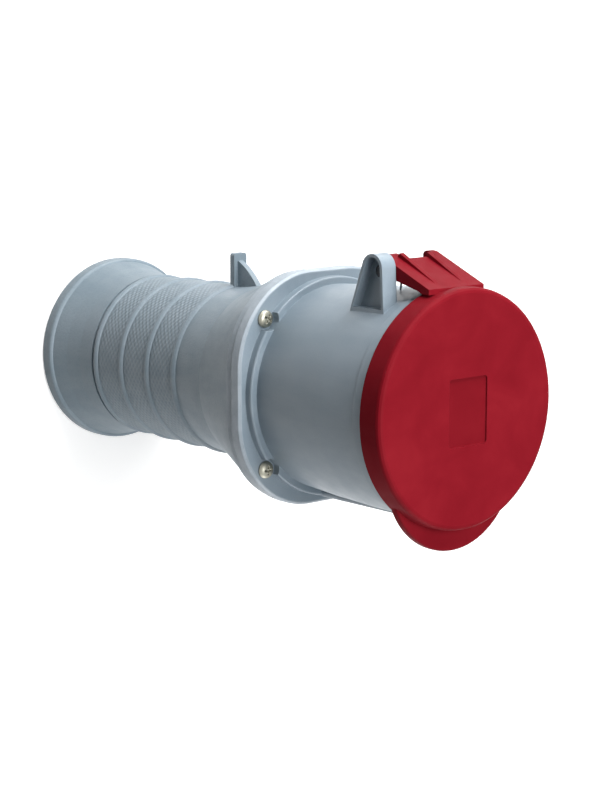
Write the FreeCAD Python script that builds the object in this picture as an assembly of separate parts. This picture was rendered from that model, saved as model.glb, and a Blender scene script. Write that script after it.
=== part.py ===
import FreeCAD, Part
import math
import os

# Industrial cable coupler, 63 A five-pole class, standing on its cable end.
# All sizes are millimetres. Z runs along the coupler from the cable end (z = 0) to the lid,
# +Y is the hinge side and +X completes the right-handed frame.

V = FreeCAD.Vector
X_AXIS = V(1, 0, 0)
Z_AXIS = V(0, 0, 1)

# Clearances and fits
RUN_FIT = 0.05          # radial play of the lid on its pin
SLIP_FIT = 0.2          # radial play between moulded pieces that slide together
MOVE_GAP = 0.4          # air between the lid and the housing
THREAD_FIT = 0.05       # radial play that stands for a cut thread

# Gland nut at the cable end
CABLE_R = 20.0          # cable entry bore
NUT_SIDE = 6.4          # side wall of the nut round the spout
NUT_BELL = 6.2          # the bell of the nut opens by this much
NUT_LENGTH = 33.0
NUT_WALL = 6.0          # end wall around the cable entry
NUT_RIM_HEIGHT = 5.0

# Seal stack inside the gland
SEAL_BODY = 9.0         # from the cable bore out to the spout's wall
SPOUT_START = 9.0
SPOUT_WALL = 4.0
SEAL_PLAY = 0.6         # the loose seal is this much wider than the cable bore
THRUST_HEIGHT = 4.0
SEAL_HEIGHT = 16.0
LIP_STEP = 3.0          # the lip under the seal is this much wider than the cable bore

# Rear housing: grip, flare and flange
GRIP_STEP = 5.6         # the grip stands out from the spout by this much
GRIP_TAPER = 1.0
GRIP_END = 100.0
GRIP_WALL = 3.6
RIDGE_FIRST = 35.9
RIDGE_PITCH = 20.6
RIDGE_COUNT = 4
RIDGE_HEIGHT = 1.3
RIDGE_HALF = 1.9
CONE_RISE = 3.2         # the cone before the flare is this much wider than the grip
CONE_END = 120.0
FLARE_START_FLAT = 1.0      # half length of the flat sides where the flare leaves the grip
FLARE_END_FLAT = 11.0       # and where it meets the flange
FLARE_INSET = 1.4           # the flare ends this much inside the front flange
REAR_FLANGE_INSET = 0.8     # the rear flange is this much smaller than the front one
REAR_FLANGE_FLAT = 11.0     # half length of its flat sides
REAR_FLANGE_HEIGHT = 4.0
PARTING = 157.0         # plane where the two housings meet
CAVITY_STEP = 1.0       # the wiring chamber is this much wider than the collar bore
CAVITY_FLARE_END = 139.0

# Hanging lug on the grip
LUG_WIDTH = 7.6
LUG_THICK = 3.0
LUG_TOP = 55.5
LUG_START = 96.6
LUG_RUN = 14.0          # how far its gusset runs towards the flange
GUSSET_THICK = 3.0

# Front housing: barrel and mouth, sized from the collar that takes the plug shroud
SHROUD_R = 42.0
BARREL_WALL = 4.7
BARREL_FLARE = 2.7      # the barrel is this much wider at its bead than at its root
BARREL_SAG = 0.7
ROOT_STEP = 3.3
ROOT_HEIGHT = 3.8
BEAD_STEP = 1.0
LIP_BEAD_HEIGHT = 7.2
MOUTH_WALL = 4.4
MOUTH_BELOW_LID = 8.5   # from the lid face down to the end of the mouth
KEY_WIDTH = 9.0
KEY_DEPTH = 2.6
KEY_START = 172.0
KEY_RIB_WIDTH = 17.0
KEY_RIB_STEP = 3.9
KEY_RIB_ROUND = 3.0
BARREL_R = SHROUD_R + BARREL_WALL
BARREL_END_R = BARREL_R + BARREL_FLARE
ROOT_R = BARREL_R + ROOT_STEP
LIP_BEAD_R = BARREL_END_R + BEAD_STEP
MOUTH_OUT_R = SHROUD_R + MOUTH_WALL
KEY_R = SHROUD_R + KEY_DEPTH
KEY_RIB_R = BARREL_R + KEY_RIB_STEP
CAVITY_R = SHROUD_R + CAVITY_STEP

# Front flange: a square with large round corners, a screw in each
SCREW_STEP = 1.6        # from the root ring to the screw circle
FLANGE_MARGIN = 1.9     # from the screw circle to the flat sides
FLANGE_FLAT = 11.0      # half length of a flat side
FRONT_FLANGE_HEIGHT = 5.5
FLANGE_EDGE = 1.0
SCREW_CIRCLE_R = ROOT_R + SCREW_STEP
FLANGE_HALF = SCREW_CIRCLE_R + FLANGE_MARGIN

# Housing screws
SCREW_ANGLE = 41.0      # from the X axis, mirrored to all four quadrants
SCREW_R = 2.1
SCREW_HEAD_R = 3.9
SCREW_HEAD_HEIGHT = 2.8
SCREW_LENGTH = 12.0
SCREW_HOLE_R = 2.5
SCOOP_R = 5.3
INSERT_R = 3.2
INSERT_LENGTH = 5.0

# Contact carrier
SHROUD_GAP = 9.0        # room for the plug's shroud between the collar bore and the carrier
CARRIER_R = SHROUD_R - SHROUD_GAP
CARRIER_FACE = 236.0
CARRIER_REAR = 150.0
CARRIER_FLANGE_STEP = 3.5   # the base flange is this much wider than the collar bore
CARRIER_FLANGE_HEIGHT = 3.5
CARRIER_FLANGE_R = SHROUD_R + CARRIER_FLANGE_STEP
CARRIER_EDGE = 1.2
FACE_WALL = 4.0         # carrier wall in front of the contacts
RETAINER_HEIGHT = 5.0
COLLAR_HEIGHT = 6.0
COLLAR_PLAY = 0.2

# Flange gasket, outside the carrier flange
GASKET_STEP = 0.4
GASKET_WIDTH = 2.0
GASKET_HEIGHT = 1.2
GASKET_IN_R = CARRIER_FLANGE_R + GASKET_STEP
GASKET_OUT_R = GASKET_IN_R + GASKET_WIDTH

# Contacts: the mains lie on one circle, the earth at the keyway, the pilot in the middle
CONTACT_INSET = 13.0    # from the carrier's side in to the main contacts
CONTACT_CIRCLE_R = CARRIER_R - CONTACT_INSET
EARTH_ANGLE = -90.0
MAIN_COUNT = 5
SLEEVE_DEPTH = 38.0
SLEEVE_WALL = 1.8
SLOT_WIDTH = 0.9
SLOT_DEPTH = 25.0
SLEEVE_AIR = 1.3        # room round a sleeve for its spring ring
SLEEVE_PLAY = 0.3       # room round a sleeve where it passes the base
ENTRY_PLAY = 0.55       # the entry hole is this much wider than the pin bore
MAIN_PIN_R = 4.05
EARTH_PIN_R = 5.05
PILOT_PIN_R = 3.05
MAIN_STEM_R = 7.8
PILOT_STEM_R = 5.4
COLLAR_STEP = 1.5
TERMINAL_END = 117.0
TERMINAL_DEPTH = 20.0
MAIN_WIRE_R = 4.6
PILOT_WIRE_R = 2.4
TERMINAL_SCREW_R = 3.0
PILOT_SCREW_R = 1.7
TERMINAL_SCREW_HEIGHT = 8.0     # above the cable end of a terminal
RING_SINK = 0.4         # how deep a spring ring sits in its sleeve
RING_THICK = 0.8
RING_WIDTH = 1.8
RING_PLAY = 0.05
RING_BELOW = 12.0       # below the front of a sleeve

# Screws that hold the retainer on the carrier
CARRIER_SCREW_ANGLES = (90.0, -54.0, -126.0)
CARRIER_SCREW_INSET = 5.5
CARRIER_SCREW_CIRCLE_R = CARRIER_R - CARRIER_SCREW_INSET
CARRIER_SCREW_R = 1.6
CARRIER_SCREW_HEAD_R = 3.0
CARRIER_SCREW_HEAD_HEIGHT = 2.0
CARRIER_SCREW_LENGTH = 22.0
CARRIER_SCREW_TIP_ROOM = 1.5
CARRIER_SCREW_PLAY = 0.2

# Cable clamp inside the grip
CLAMP_START = 94.0
CLAMP_HEIGHT = 11.0
CLAMP_GRASP = 3.0       # the clamp's bore is this much smaller than the cable bore
CLAMP_ARCH = 6.0        # thickness of the strap's arch
CLAMP_SCREW_INSET = 9.5     # from the grip's bore in to a clamp screw
CLAMP_EAR = 4.0
CLAMP_EAR_HEIGHT = 9.0
CLAMP_GAP = 0.5
CLAMP_SCREW_R = 2.0
CLAMP_HEAD_R = 3.6
CLAMP_HEAD_HEIGHT = 2.6
CLAMP_SCREW_LENGTH = 19.0
CLAMP_HOLE = 14.0       # depth of the screw's hole in the lower half

# Hinge
PIN_RISE = 5.9          # from the lid rim to the pin
PIN_Z = 219.0
PIN_R = 1.6
PIN_HEAD_R = 2.6
PIN_HEAD_HEIGHT = 1.2
PIN_HEAD_SINK = 1.3     # how deep the pin head lies under the floor of the ear pocket
PIN_HEAD_PLAY = 0.3
PIN_TAIL = 1.9          # how far the pin stands out of the far cheek
EAR_OUT_X = -27.4
EAR_WIDTH = 8.0
EAR_TOP_R = 6.2
EAR_TOP_RISE = 1.4      # centre of the rounded ear top above the pin
EAR_BASE_BACK = 204.0
EAR_BASE_FRONT = 226.4
EAR_POCKET = 5.0
EAR_RIM = 1.5
INNER_EAR_X = 4.0
INNER_EAR_WIDTH = 5.4
INNER_EAR_R = 3.0
ARM_NEAR_X = -19.0
ARM_FAR_X = 14.0
CHEEK_NEAR = 5.0
CHEEK_FAR = 4.2
HOOD_RISE = 6.2         # from the pin up to the flat of the hood
HOOD_BACK = 212.0
HOOD_FLAT_END = 216.5
HOOD_INNER_R = 3.5
CHEEK_BACK = 5.0        # how far the cheeks reach past the pin towards the barrel
ARM_DEPTH = 4.0         # from the pin down to the underside of the arm
ARM_DEPTH_END = 7.0     # and the same at the lid rim
ARM_BELOW_FACE = 5.3    # the arm runs into the lid rim this far below the lid face
WELL_DEPTH = 12.0       # room under the pin inside the hood
SPRING_NOTCH_ROOM = 1.2
NOTCH_ABOVE_PIN = 1.0   # front end of the cut-out in the hood for the second ear and the spring
CLIP_R = 3.1
CLIP_HEIGHT = 0.8
CLIP_GAP = 0.3
ARM_RIB_WIDTH = 2.4
ARM_RIB_HEIGHT = 0.9
ARM_RIB_X = (-10.0, 5.5)

# Torsion spring of the lid
SPRING_WIRE_R = 0.45
SPRING_MEAN_R = 2.35
SPRING_TURNS = 5
SPRING_END_TURN = 125.0  # degrees past the last full turn, where the leg leaves for the arm
SPRING_PITCH = 1.8
SPRING_END_X = 2.6
SPRING_ARM_LEG = 9.0
SPRING_LEG_AIR = 0.35
SPRING_STEP = 22.5      # degrees of turn between two bends of the stepped coil
WIRE_SIDES = 8

# Lid
LID_STEP = 2.1          # the lid rim is this much wider than the bead under it
LID_FACE = 250.0
LID_EDGE_R = 2.2
LID_SKIRT_START = 238.6
LID_WALL = 3.0
LID_TOP_WALL = 3.2
LID_GASKET_STEP = 0.4   # the lid gasket starts this far outside the collar bore
LID_GASKET_OVERLAP = 2.0    # and ends this far outside the mouth
LID_GASKET_GAP = 0.3    # air under the gasket with the lid at rest on its stop
LID_RIB_WIDTH = 2.2
LID_RIB_HEIGHT = 3.4
PANEL_WIDTH = 22.8
PANEL_HEIGHT = 29.4
PANEL_DROP = 0.8        # its middle lies this far below the axis
PANEL_DEPTH = 0.8
PANEL_CORNER_R = 1.5
TAB_R = 38.0
TAB_REACH = 62.4
TAB_HEIGHT = 4.6
TAB_EDGE = 1.2
LID_R = LIP_BEAD_R + LID_STEP
PIN_Y = LID_R + PIN_RISE
HOOD_TOP = PIN_Y + HOOD_RISE
ARM_UNDER = PIN_Y - ARM_DEPTH
ARM_UNDER_END = PIN_Y - ARM_DEPTH_END
ARM_JOIN_Z = LID_FACE - ARM_BELOW_FACE
MOUTH_END = LID_FACE - MOUTH_BELOW_LID
LID_GASKET_IN_R = SHROUD_R + LID_GASKET_STEP
LID_GASKET_OUT_R = MOUTH_OUT_R + LID_GASKET_OVERLAP

# How finely arcs are stepped on turned shapes
SMALL_ARC_R = 4.0
EDGE_STEP = 30.0        # degrees, on small roundings
CURVE_STEP = 10.0       # degrees, on larger curves


def cylinder(radius, low, high, x=0.0, y=0.0):
    """Upright cylinder between two heights."""
    return Part.makeCylinder(radius, high - low, V(x, y, low))


def tube(inner, outer, low, high, x=0.0, y=0.0):
    """Upright ring with a plain bore."""
    return cylinder(outer, low, high, x, y).cut(cylinder(inner, low - 1, high + 1, x, y))


def cross_bar(radius, left, right, y, z):
    """Cylinder along X."""
    return Part.makeCylinder(radius, right - left, V(left, y, z), X_AXIS)


def box(low, high):
    """Box between two opposite corners."""
    size = V(*high).sub(V(*low))
    return Part.makeBox(size.x, size.y, size.z, V(*low))


def outline(start, steps, to_space):
    """Closed face: a step of two numbers is a straight run, one of four is an arc's middle and end."""
    edges = []
    here = start
    for step in list(steps) + [start]:
        there = tuple(step[-2:])
        if len(step) == 4:
            arc = Part.Arc(to_space(*here), to_space(*step[:2]), to_space(*there))
            edges.append(arc.toShape())
        elif math.dist(here, there) > 1e-6:
            edges.append(Part.LineSegment(to_space(*here), to_space(*there)).toShape())
        here = there
    return Part.Face(Part.Wire(edges))


def chords(start, middle, end):
    """Points along the arc through three points, after its start."""
    (ax, ay), (bx, by), (cx, cy) = start, middle, end
    aa, bb, cc = ax * ax + ay * ay, bx * bx + by * by, cx * cx + cy * cy
    double = 2 * (ax * (by - cy) + bx * (cy - ay) + cx * (ay - by))
    mx = (aa * (by - cy) + bb * (cy - ay) + cc * (ay - by)) / double
    my = (aa * (cx - bx) + bb * (ax - cx) + cc * (bx - ax)) / double
    radius = math.hypot(ax - mx, ay - my)
    first, via, last = (math.atan2(y - my, x - mx) for x, y in (start, middle, end))
    sweep = (last - first) % (2 * math.pi)
    if (via - first) % (2 * math.pi) > sweep:
        sweep -= 2 * math.pi
    step = EDGE_STEP if radius < SMALL_ARC_R else CURVE_STEP
    count = max(3, math.ceil(abs(math.degrees(sweep)) / step))
    angles = [first + sweep * k / count for k in range(1, count)]
    return [(mx + radius * math.cos(a), my + radius * math.sin(a)) for a in angles] + [tuple(end)]


def turned(start, steps):
    """Body of revolution about Z from a radius and height outline, its arcs stepped."""
    runs = []
    here = start
    for step in steps:
        runs += chords(here, step[:2], step[2:]) if len(step) == 4 else [step]
        here = tuple(step[-2:])
    face = outline(start, runs, lambda r, z: V(r, 0, z))
    return face.revolve(V(0, 0, 0), Z_AXIS, 360)


def rounded_square(half, flat, low, high):
    """Upright plate with a square outline; flat is half the straight part of a side."""
    plate = box((-half, -half, low), (half, half, high))
    corners = [e for e in plate.Edges if e.BoundBox.ZLength > (high - low) / 2]
    return plate.makeFillet(half - flat, corners)


def square_rim(half, flat, level):
    """Closed outline of such a plate at one height."""
    plate = rounded_square(half, flat, level, level + 1)
    return min(plate.Faces, key=lambda f: f.CenterOfMass.z).OuterWire


def side_plate(start, steps, left, right):
    """Plate with a (y, z) outline, from one x to another."""
    face = outline(start, steps, lambda y, z: V(left, y, z))
    return face.extrude(V(right - left, 0, 0))


def bowed(start, end, sag):
    """Middle and end of an arc from start to end, bowed by sag to the right of its direction."""
    dx, dy = end[0] - start[0], end[1] - start[1]
    run = math.hypot(dx, dy)
    middle = ((start[0] + end[0]) / 2 + sag * dy / run, (start[1] + end[1]) / 2 - sag * dx / run)
    return (*middle, *end)


def on_circle(radius, degrees):
    """Point of a circle about the Z axis."""
    return radius * math.cos(math.radians(degrees)), radius * math.sin(math.radians(degrees))


def fused(shapes):
    """One body from pieces that meet, with the seams between them removed."""
    return shapes[0].fuse(shapes[1:]).removeSplitter()


def barrel_r(z):
    """Outer radius of the front housing's barrel along its straight chord."""
    share = (z - BARREL_START) / (LIP_BEAD_START - BARREL_START)
    return BARREL_R + share * (BARREL_END_R - BARREL_R)


# Heights and places worked out from the sizes above
FLANGE_TOP = PARTING + FRONT_FLANGE_HEIGHT
BARREL_START = FLANGE_TOP + ROOT_HEIGHT
LIP_BEAD_END = LID_SKIRT_START - MOVE_GAP
LIP_BEAD_START = LIP_BEAD_END - LIP_BEAD_HEIGHT
SEAL_START = NUT_WALL + THRUST_HEIGHT
SEAL_END = SEAL_START + SEAL_HEIGHT
GRIP_START = NUT_LENGTH + MOVE_GAP
CAVITY_START = GRIP_START + GRIP_WALL
SPOUT_R = CABLE_R + SEAL_BODY + SPOUT_WALL
LIP_R = CABLE_R + LIP_STEP
NUT_NECK_R = SPOUT_R + NUT_SIDE
NUT_RIM_R = NUT_NECK_R + NUT_BELL
GRIP_R = SPOUT_R + GRIP_STEP
GRIP_END_R = GRIP_R + GRIP_TAPER
CONE_R = GRIP_R + CONE_RISE
GRIP_BORE_R = GRIP_R - GRIP_WALL
CLAMP_BORE_R = CABLE_R - CLAMP_GRASP
CLAMP_ARCH_R = CLAMP_BORE_R + CLAMP_ARCH
CLAMP_SCREW_X = GRIP_BORE_R - CLAMP_SCREW_INSET
CARRIER_SHOULDER = PARTING + CARRIER_FLANGE_HEIGHT
COLLAR_END = CARRIER_REAR + COLLAR_HEIGHT
SLEEVE_END = CARRIER_FACE - FACE_WALL
EAR_IN_X = EAR_OUT_X + EAR_WIDTH
PIN_SEAT_X = EAR_OUT_X + EAR_POCKET + PIN_HEAD_SINK
INNER_EAR_END_X = INNER_EAR_X + INNER_EAR_WIDTH
ARM_END_Z = LID_SKIRT_START + 2.5
SPRING_TURN = SPRING_TURNS * 360.0 + SPRING_END_TURN
SPRING_START_X = SPRING_END_X - SPRING_PITCH * SPRING_TURN / 360
SCREW_SPOTS = [on_circle(SCREW_CIRCLE_R, base + side * SCREW_ANGLE)
               for base, side in ((0, 1), (180, -1), (180, 1), (0, -1))]
MAIN_SPOTS = [on_circle(CONTACT_CIRCLE_R, EARTH_ANGLE + k * 360.0 / MAIN_COUNT)
              for k in range(MAIN_COUNT)]


def gland_nut():
    """Bell-shaped nut that squeezes the seal on to the cable."""
    rim_top = NUT_RIM_HEIGHT + 2.2
    shoulder = (NUT_RIM_R - 1.6, rim_top)
    neck = (NUT_NECK_R, NUT_LENGTH)
    return turned((CABLE_R, 0), [
        (NUT_RIM_R - 1.4, 0),
        (NUT_RIM_R - 0.4, 0.4, NUT_RIM_R, 1.4),
        (NUT_RIM_R, NUT_RIM_HEIGHT),
        (NUT_RIM_R - 0.35, NUT_RIM_HEIGHT + 1.5, *shoulder),
        bowed(shoulder, neck, -1.0),
        (SPOUT_R + SLIP_FIT, NUT_LENGTH),
        (SPOUT_R + SLIP_FIT, NUT_WALL),
        (CABLE_R, NUT_WALL)])


def gland_thrust_ring():
    """Hard ring between the nut and the seal."""
    return tube(CABLE_R + SEAL_PLAY, SPOUT_R - SPOUT_WALL - SLIP_FIT, NUT_WALL, SEAL_START)


def gland_seal():
    """Rubber ring that grips the cable, with a coned mouth and two inner grooves."""
    bore = CABLE_R + SEAL_PLAY
    wall = SPOUT_R - SPOUT_WALL - SLIP_FIT
    body = turned((bore + 1.5, SEAL_START), [
        (wall, SEAL_START), (wall, SEAL_END), (LIP_R, SEAL_END),
        (bore, SEAL_END - 2), (bore, SEAL_START + 2)])
    for share in (1 / 3, 2 / 3):
        level = SEAL_START + share * SEAL_HEIGHT
        body = body.cut(tube(bore - 1, bore + 1.2, level - 0.8, level + 0.8))
    return body


def rear_outside():
    """Solid outer form of the rear housing, from its threaded spout to its flare."""
    return turned((0, SPOUT_START), [
        (SPOUT_R - 0.8, SPOUT_START), (SPOUT_R, SPOUT_START + 0.8),
        (SPOUT_R, GRIP_START),
        (GRIP_R, GRIP_START),
        (GRIP_END_R, GRIP_END),
        (CONE_R, CONE_END),
        (0, CONE_END)])


def rear_flange():
    """Flange plate of the rear housing and the flare behind it, from round to rounded square."""
    low = PARTING - REAR_FLANGE_HEIGHT
    plate = rounded_square(FLANGE_HALF - REAR_FLANGE_INSET, REAR_FLANGE_FLAT, low, PARTING)
    ends = [square_rim(CONE_R, FLARE_START_FLAT, CONE_END),
            square_rim(FLANGE_HALF - FLARE_INSET, FLARE_END_FLAT, low)]
    return [plate, Part.makeLoft(ends, True, True)]


def rear_inside():
    """Hollow of the rear housing: seal pocket, lip, cable space and wiring chamber."""
    pocket_r = SPOUT_R - SPOUT_WALL
    cone = (CONE_R - GRIP_WALL - 0.6, CONE_END)
    wide = (CAVITY_R, CAVITY_FLARE_END)
    return turned((0, SPOUT_START - 1), [
        (pocket_r, SPOUT_START - 1), (pocket_r, SEAL_END),
        (LIP_R, SEAL_END), (LIP_R, CAVITY_START),
        (GRIP_BORE_R, CAVITY_START),
        (GRIP_BORE_R, GRIP_END),
        cone,
        bowed(cone, wide, -1.2),
        (CAVITY_R, PARTING + 1), (0, PARTING + 1)])


def grip_ridge(level):
    """Round bead about the grip."""
    root = GRIP_R - 1.0
    crest = GRIP_R + (level - GRIP_START) / (GRIP_END - GRIP_START) * (GRIP_END_R - GRIP_R)
    low, high = level - RIDGE_HALF, level + RIDGE_HALF
    return turned((root, low), [
        (crest - 0.1, low), (crest + RIDGE_HEIGHT, level, crest - 0.1, high), (root, high)])


def hanging_lug():
    """Upright lug on the grip with a sloping gusset behind it."""
    root = GRIP_R - 1.5
    top = LUG_START + LUG_THICK
    half = LUG_WIDTH / 2
    plate = box((-half, root, LUG_START), (half, LUG_TOP, top))
    rim = [e for e in plate.Edges if e.BoundBox.YMin > LUG_TOP - 0.1 and e.BoundBox.XLength < 0.1]
    plate = plate.makeFillet(1.4, rim)
    foot = CONE_R - 1.5
    gusset = side_plate((root, top - 0.5), [
        (LUG_TOP - 2.5, top - 0.5), (LUG_TOP - 3.5, top),
        bowed((LUG_TOP - 3.5, top), (foot, top + LUG_RUN), 1.2), (root, top + LUG_RUN)],
        -GUSSET_THICK / 2, GUSSET_THICK / 2)
    return [plate, gusset]


def rear_housing():
    """Grip and wiring chamber, with its flange, screw seats and hanging lug."""
    ridges = [grip_ridge(RIDGE_FIRST + k * RIDGE_PITCH) for k in range(RIDGE_COUNT)]
    body = fused([rear_outside()] + rear_flange() + ridges + hanging_lug())
    body = body.cut(rear_inside())
    body = body.cut(tube(GASKET_IN_R, GASKET_OUT_R, PARTING - GASKET_HEIGHT, PARTING + 1))
    for x, y in SCREW_SPOTS:
        body = body.cut(cylinder(INSERT_R, PARTING - INSERT_LENGTH, PARTING + 1, x, y))
        tip = FLANGE_TOP - SCREW_LENGTH - 0.6
        body = body.cut(cylinder(SCREW_R + THREAD_FIT, tip, PARTING, x, y))
    return body


def flange_gasket():
    """Flat ring in the groove of the rear flange."""
    return tube(GASKET_IN_R, GASKET_OUT_R, PARTING - GASKET_HEIGHT, PARTING)


def screw_inserts():
    """Brass thread inserts moulded into the rear flange."""
    low = PARTING - INSERT_LENGTH
    return [tube(SCREW_R + THREAD_FIT, INSERT_R, low, PARTING, x, y) for x, y in SCREW_SPOTS]


def pan_screw(shank_r, length, head_r, head_height):
    """Screw with a domed head and a cross slot; its seat lies at z = 0 and its head points up."""
    head = turned((0, 0), [
        (head_r, 0), (head_r, head_height * 0.35),
        (head_r * 0.78, head_height * 0.86, 0, head_height)])
    shank = cylinder(shank_r, -length, 0.5)
    screw = fused([head, shank])
    reach, half = head_r * 0.58, head_r * 0.13
    slot = box((-reach, -half, head_height * 0.55), (reach, half, head_height + 1))
    cross = box((-half, -reach, head_height * 0.55), (half, reach, head_height + 1))
    return screw.cut(slot).cut(cross)


def placed(shape, x, y, z, turn=None):
    """Copy of a shape turned about the origin and moved to a place."""
    copy = shape.copy()
    copy.Placement = FreeCAD.Placement(V(x, y, z), turn or FreeCAD.Rotation())
    return copy


def housing_screws():
    """Four screws that pull the two housings together."""
    screw = pan_screw(SCREW_R, SCREW_LENGTH, SCREW_HEAD_R, SCREW_HEAD_HEIGHT)
    return [placed(screw, x, y, FLANGE_TOP, FreeCAD.Rotation(Z_AXIS, 20 + 37 * k))
            for k, (x, y) in enumerate(SCREW_SPOTS)]


def front_outside():
    """Solid outer form of the front housing: root ring, flared barrel, bead and mouth."""
    root = (BARREL_R, BARREL_START)
    chord_end = (BARREL_END_R, LIP_BEAD_START)
    return turned((0, PARTING), [
        (ROOT_R, PARTING),
        (ROOT_R, BARREL_START - 0.8),
        (ROOT_R - 0.25, BARREL_START - 0.25, ROOT_R - 0.8, BARREL_START),
        root,
        bowed(root, chord_end, BARREL_SAG),
        (LIP_BEAD_R, LIP_BEAD_START + 1.0),
        (LIP_BEAD_R, LIP_BEAD_END - 1.2),
        (LIP_BEAD_R - 0.4, LIP_BEAD_END - 0.4, LIP_BEAD_R - 1.2, LIP_BEAD_END),
        (MOUTH_OUT_R, LIP_BEAD_END),
        (MOUTH_OUT_R, MOUTH_END - 0.8),
        (MOUTH_OUT_R - 0.8, MOUTH_END),
        (0, MOUTH_END)])


def front_flange():
    """Flange plate of the front housing with a bevelled front edge."""
    plate = rounded_square(FLANGE_HALF, FLANGE_FLAT, PARTING, FLANGE_TOP)
    rim = [e for e in plate.Edges if e.BoundBox.ZMin > FLANGE_TOP - 0.1]
    return plate.makeChamfer(FLANGE_EDGE, rim)


def key_rib():
    """Raised rib under the barrel that leaves room for the keyway inside."""
    half = KEY_RIB_WIDTH / 2
    rib = box((-half, -KEY_RIB_R, FLANGE_TOP - 1), (half, -SHROUD_R - 1, LIP_BEAD_END - 1.2))
    long_edges = [e for e in rib.Edges
                  if e.BoundBox.ZLength > 10 and e.BoundBox.YMax < -KEY_RIB_R + 0.1]
    rib = rib.makeFillet(KEY_RIB_ROUND, long_edges)
    return rib.common(cylinder(KEY_RIB_R, FLANGE_TOP - 1, LIP_BEAD_END))


def ear_outline(base_back, base_front, top_r, rise, root, inset=0.0):
    """Outline of a hinge ear in (y, z): straight front, sloping back and a round top over the pin."""
    centre_y = PIN_Y + rise
    r = top_r - inset
    back = (root + inset, base_back + inset)
    front = (root + inset, base_front - inset)
    # touching points of the two straight flanks on the round top
    def touch(point, side):
        dy, dz = centre_y - point[0], PIN_Z - point[1]
        away = math.atan2(dz, dy)
        lean = math.asin(r / math.hypot(dy, dz))
        angle = away - side * (math.pi / 2 - lean) + math.pi
        return centre_y + r * math.cos(angle), PIN_Z + r * math.sin(angle)
    back_touch = touch(back, -1)
    front_touch = touch(front, 1)
    return back, [back_touch, (centre_y + r, PIN_Z, *front_touch), front]


def outer_ear():
    """Hinge ear with a cored outer side."""
    root = math.sqrt(BARREL_R ** 2 - EAR_OUT_X ** 2) - 1.0
    start, steps = ear_outline(EAR_BASE_BACK, EAR_BASE_FRONT, EAR_TOP_R, EAR_TOP_RISE, root)
    return side_plate(start, steps, EAR_OUT_X, EAR_IN_X)


def ear_pocket():
    """Cored recess in the outer ear, down to a floor that carries the pin head."""
    base = math.sqrt(barrel_r(PIN_Z) ** 2 - EAR_OUT_X ** 2) + 0.6
    start, steps = ear_outline(EAR_BASE_BACK + EAR_RIM, EAR_BASE_FRONT, EAR_TOP_R, EAR_TOP_RISE,
                               base, EAR_RIM)
    hollow = side_plate(start, steps, EAR_OUT_X - 1, EAR_OUT_X + EAR_POCKET)
    return hollow.fuse(cross_bar(PIN_HEAD_R + PIN_HEAD_PLAY, EAR_OUT_X, PIN_SEAT_X, PIN_Y, PIN_Z))


def inner_ear():
    """Second ear, under the hood of the lid arm."""
    root = BARREL_R - 2.0
    start, steps = ear_outline(PIN_Z - INNER_EAR_R, PIN_Z + INNER_EAR_R, INNER_EAR_R, 0.0, root)
    return side_plate(start, steps, INNER_EAR_X, INNER_EAR_X + INNER_EAR_WIDTH)


def front_housing():
    """Barrel with flange, hinge ears, keyway and a bore for the plug shroud."""
    body = fused([front_outside(), front_flange(), key_rib(), outer_ear(), inner_ear()])
    body = body.cut(ear_pocket())
    body = body.cut(cylinder(SHROUD_R, PARTING - 1, MOUTH_END + 1))
    body = body.cut(cylinder(CARRIER_FLANGE_R + SLIP_FIT, PARTING - 1, CARRIER_SHOULDER))
    half = KEY_WIDTH / 2
    body = body.cut(box((-half, -KEY_R, KEY_START), (half, -SHROUD_R + 2, MOUTH_END + 1)))
    for x, y in SCREW_SPOTS:
        body = body.cut(cylinder(SCREW_HOLE_R, PARTING - 1, FLANGE_TOP + 1, x, y))
        scoop = cylinder(SCOOP_R, FLANGE_TOP, BARREL_START, x, y)
        body = body.cut(scoop.cut(cylinder(BARREL_R, FLANGE_TOP - 1, BARREL_START + 1)))
    body = body.cut(cross_bar(PIN_R, EAR_OUT_X, INNER_EAR_END_X + 1, PIN_Y, PIN_Z))
    return body


def contact_sizes(kind):
    """Pin bore, sleeve, stem, collar and wire radii of a contact."""
    bore = {"main": MAIN_PIN_R, "earth": EARTH_PIN_R, "pilot": PILOT_PIN_R}[kind]
    stem = PILOT_STEM_R if kind == "pilot" else MAIN_STEM_R
    wire = PILOT_WIRE_R if kind == "pilot" else MAIN_WIRE_R
    return bore, bore + SLEEVE_WALL, stem, stem + COLLAR_STEP, wire


def contact_spots():
    """Kind and place of every contact: earth first, then the mains round the circle, then the pilot."""
    spots = [("earth", *MAIN_SPOTS[0])]
    spots += [("main", x, y) for x, y in MAIN_SPOTS[1:]]
    return spots + [("pilot", 0.0, 0.0)]


def contact_carrier():
    """Insulating block that holds the contacts in front of the retainer."""
    body = turned((0, CARRIER_SHOULDER), [
        (CARRIER_R, CARRIER_SHOULDER), (CARRIER_R, CARRIER_FACE - CARRIER_EDGE),
        (CARRIER_R - CARRIER_EDGE, CARRIER_FACE), (0, CARRIER_FACE)])
    for kind, x, y in contact_spots():
        bore, sleeve = contact_sizes(kind)[:2]
        body = body.cut(cylinder(bore + ENTRY_PLAY, SLEEVE_END - 1, CARRIER_FACE + 1, x, y))
        body = body.cut(cylinder(sleeve + SLEEVE_AIR, CARRIER_SHOULDER - 1, SLEEVE_END, x, y))
    tip = CARRIER_REAR - RETAINER_HEIGHT + CARRIER_SCREW_LENGTH + CARRIER_SCREW_TIP_ROOM
    for degrees in CARRIER_SCREW_ANGLES:
        x, y = on_circle(CARRIER_SCREW_CIRCLE_R, degrees)
        body = body.cut(cylinder(CARRIER_SCREW_R + THREAD_FIT, CARRIER_SHOULDER - 1, tip, x, y))
    return body


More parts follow.
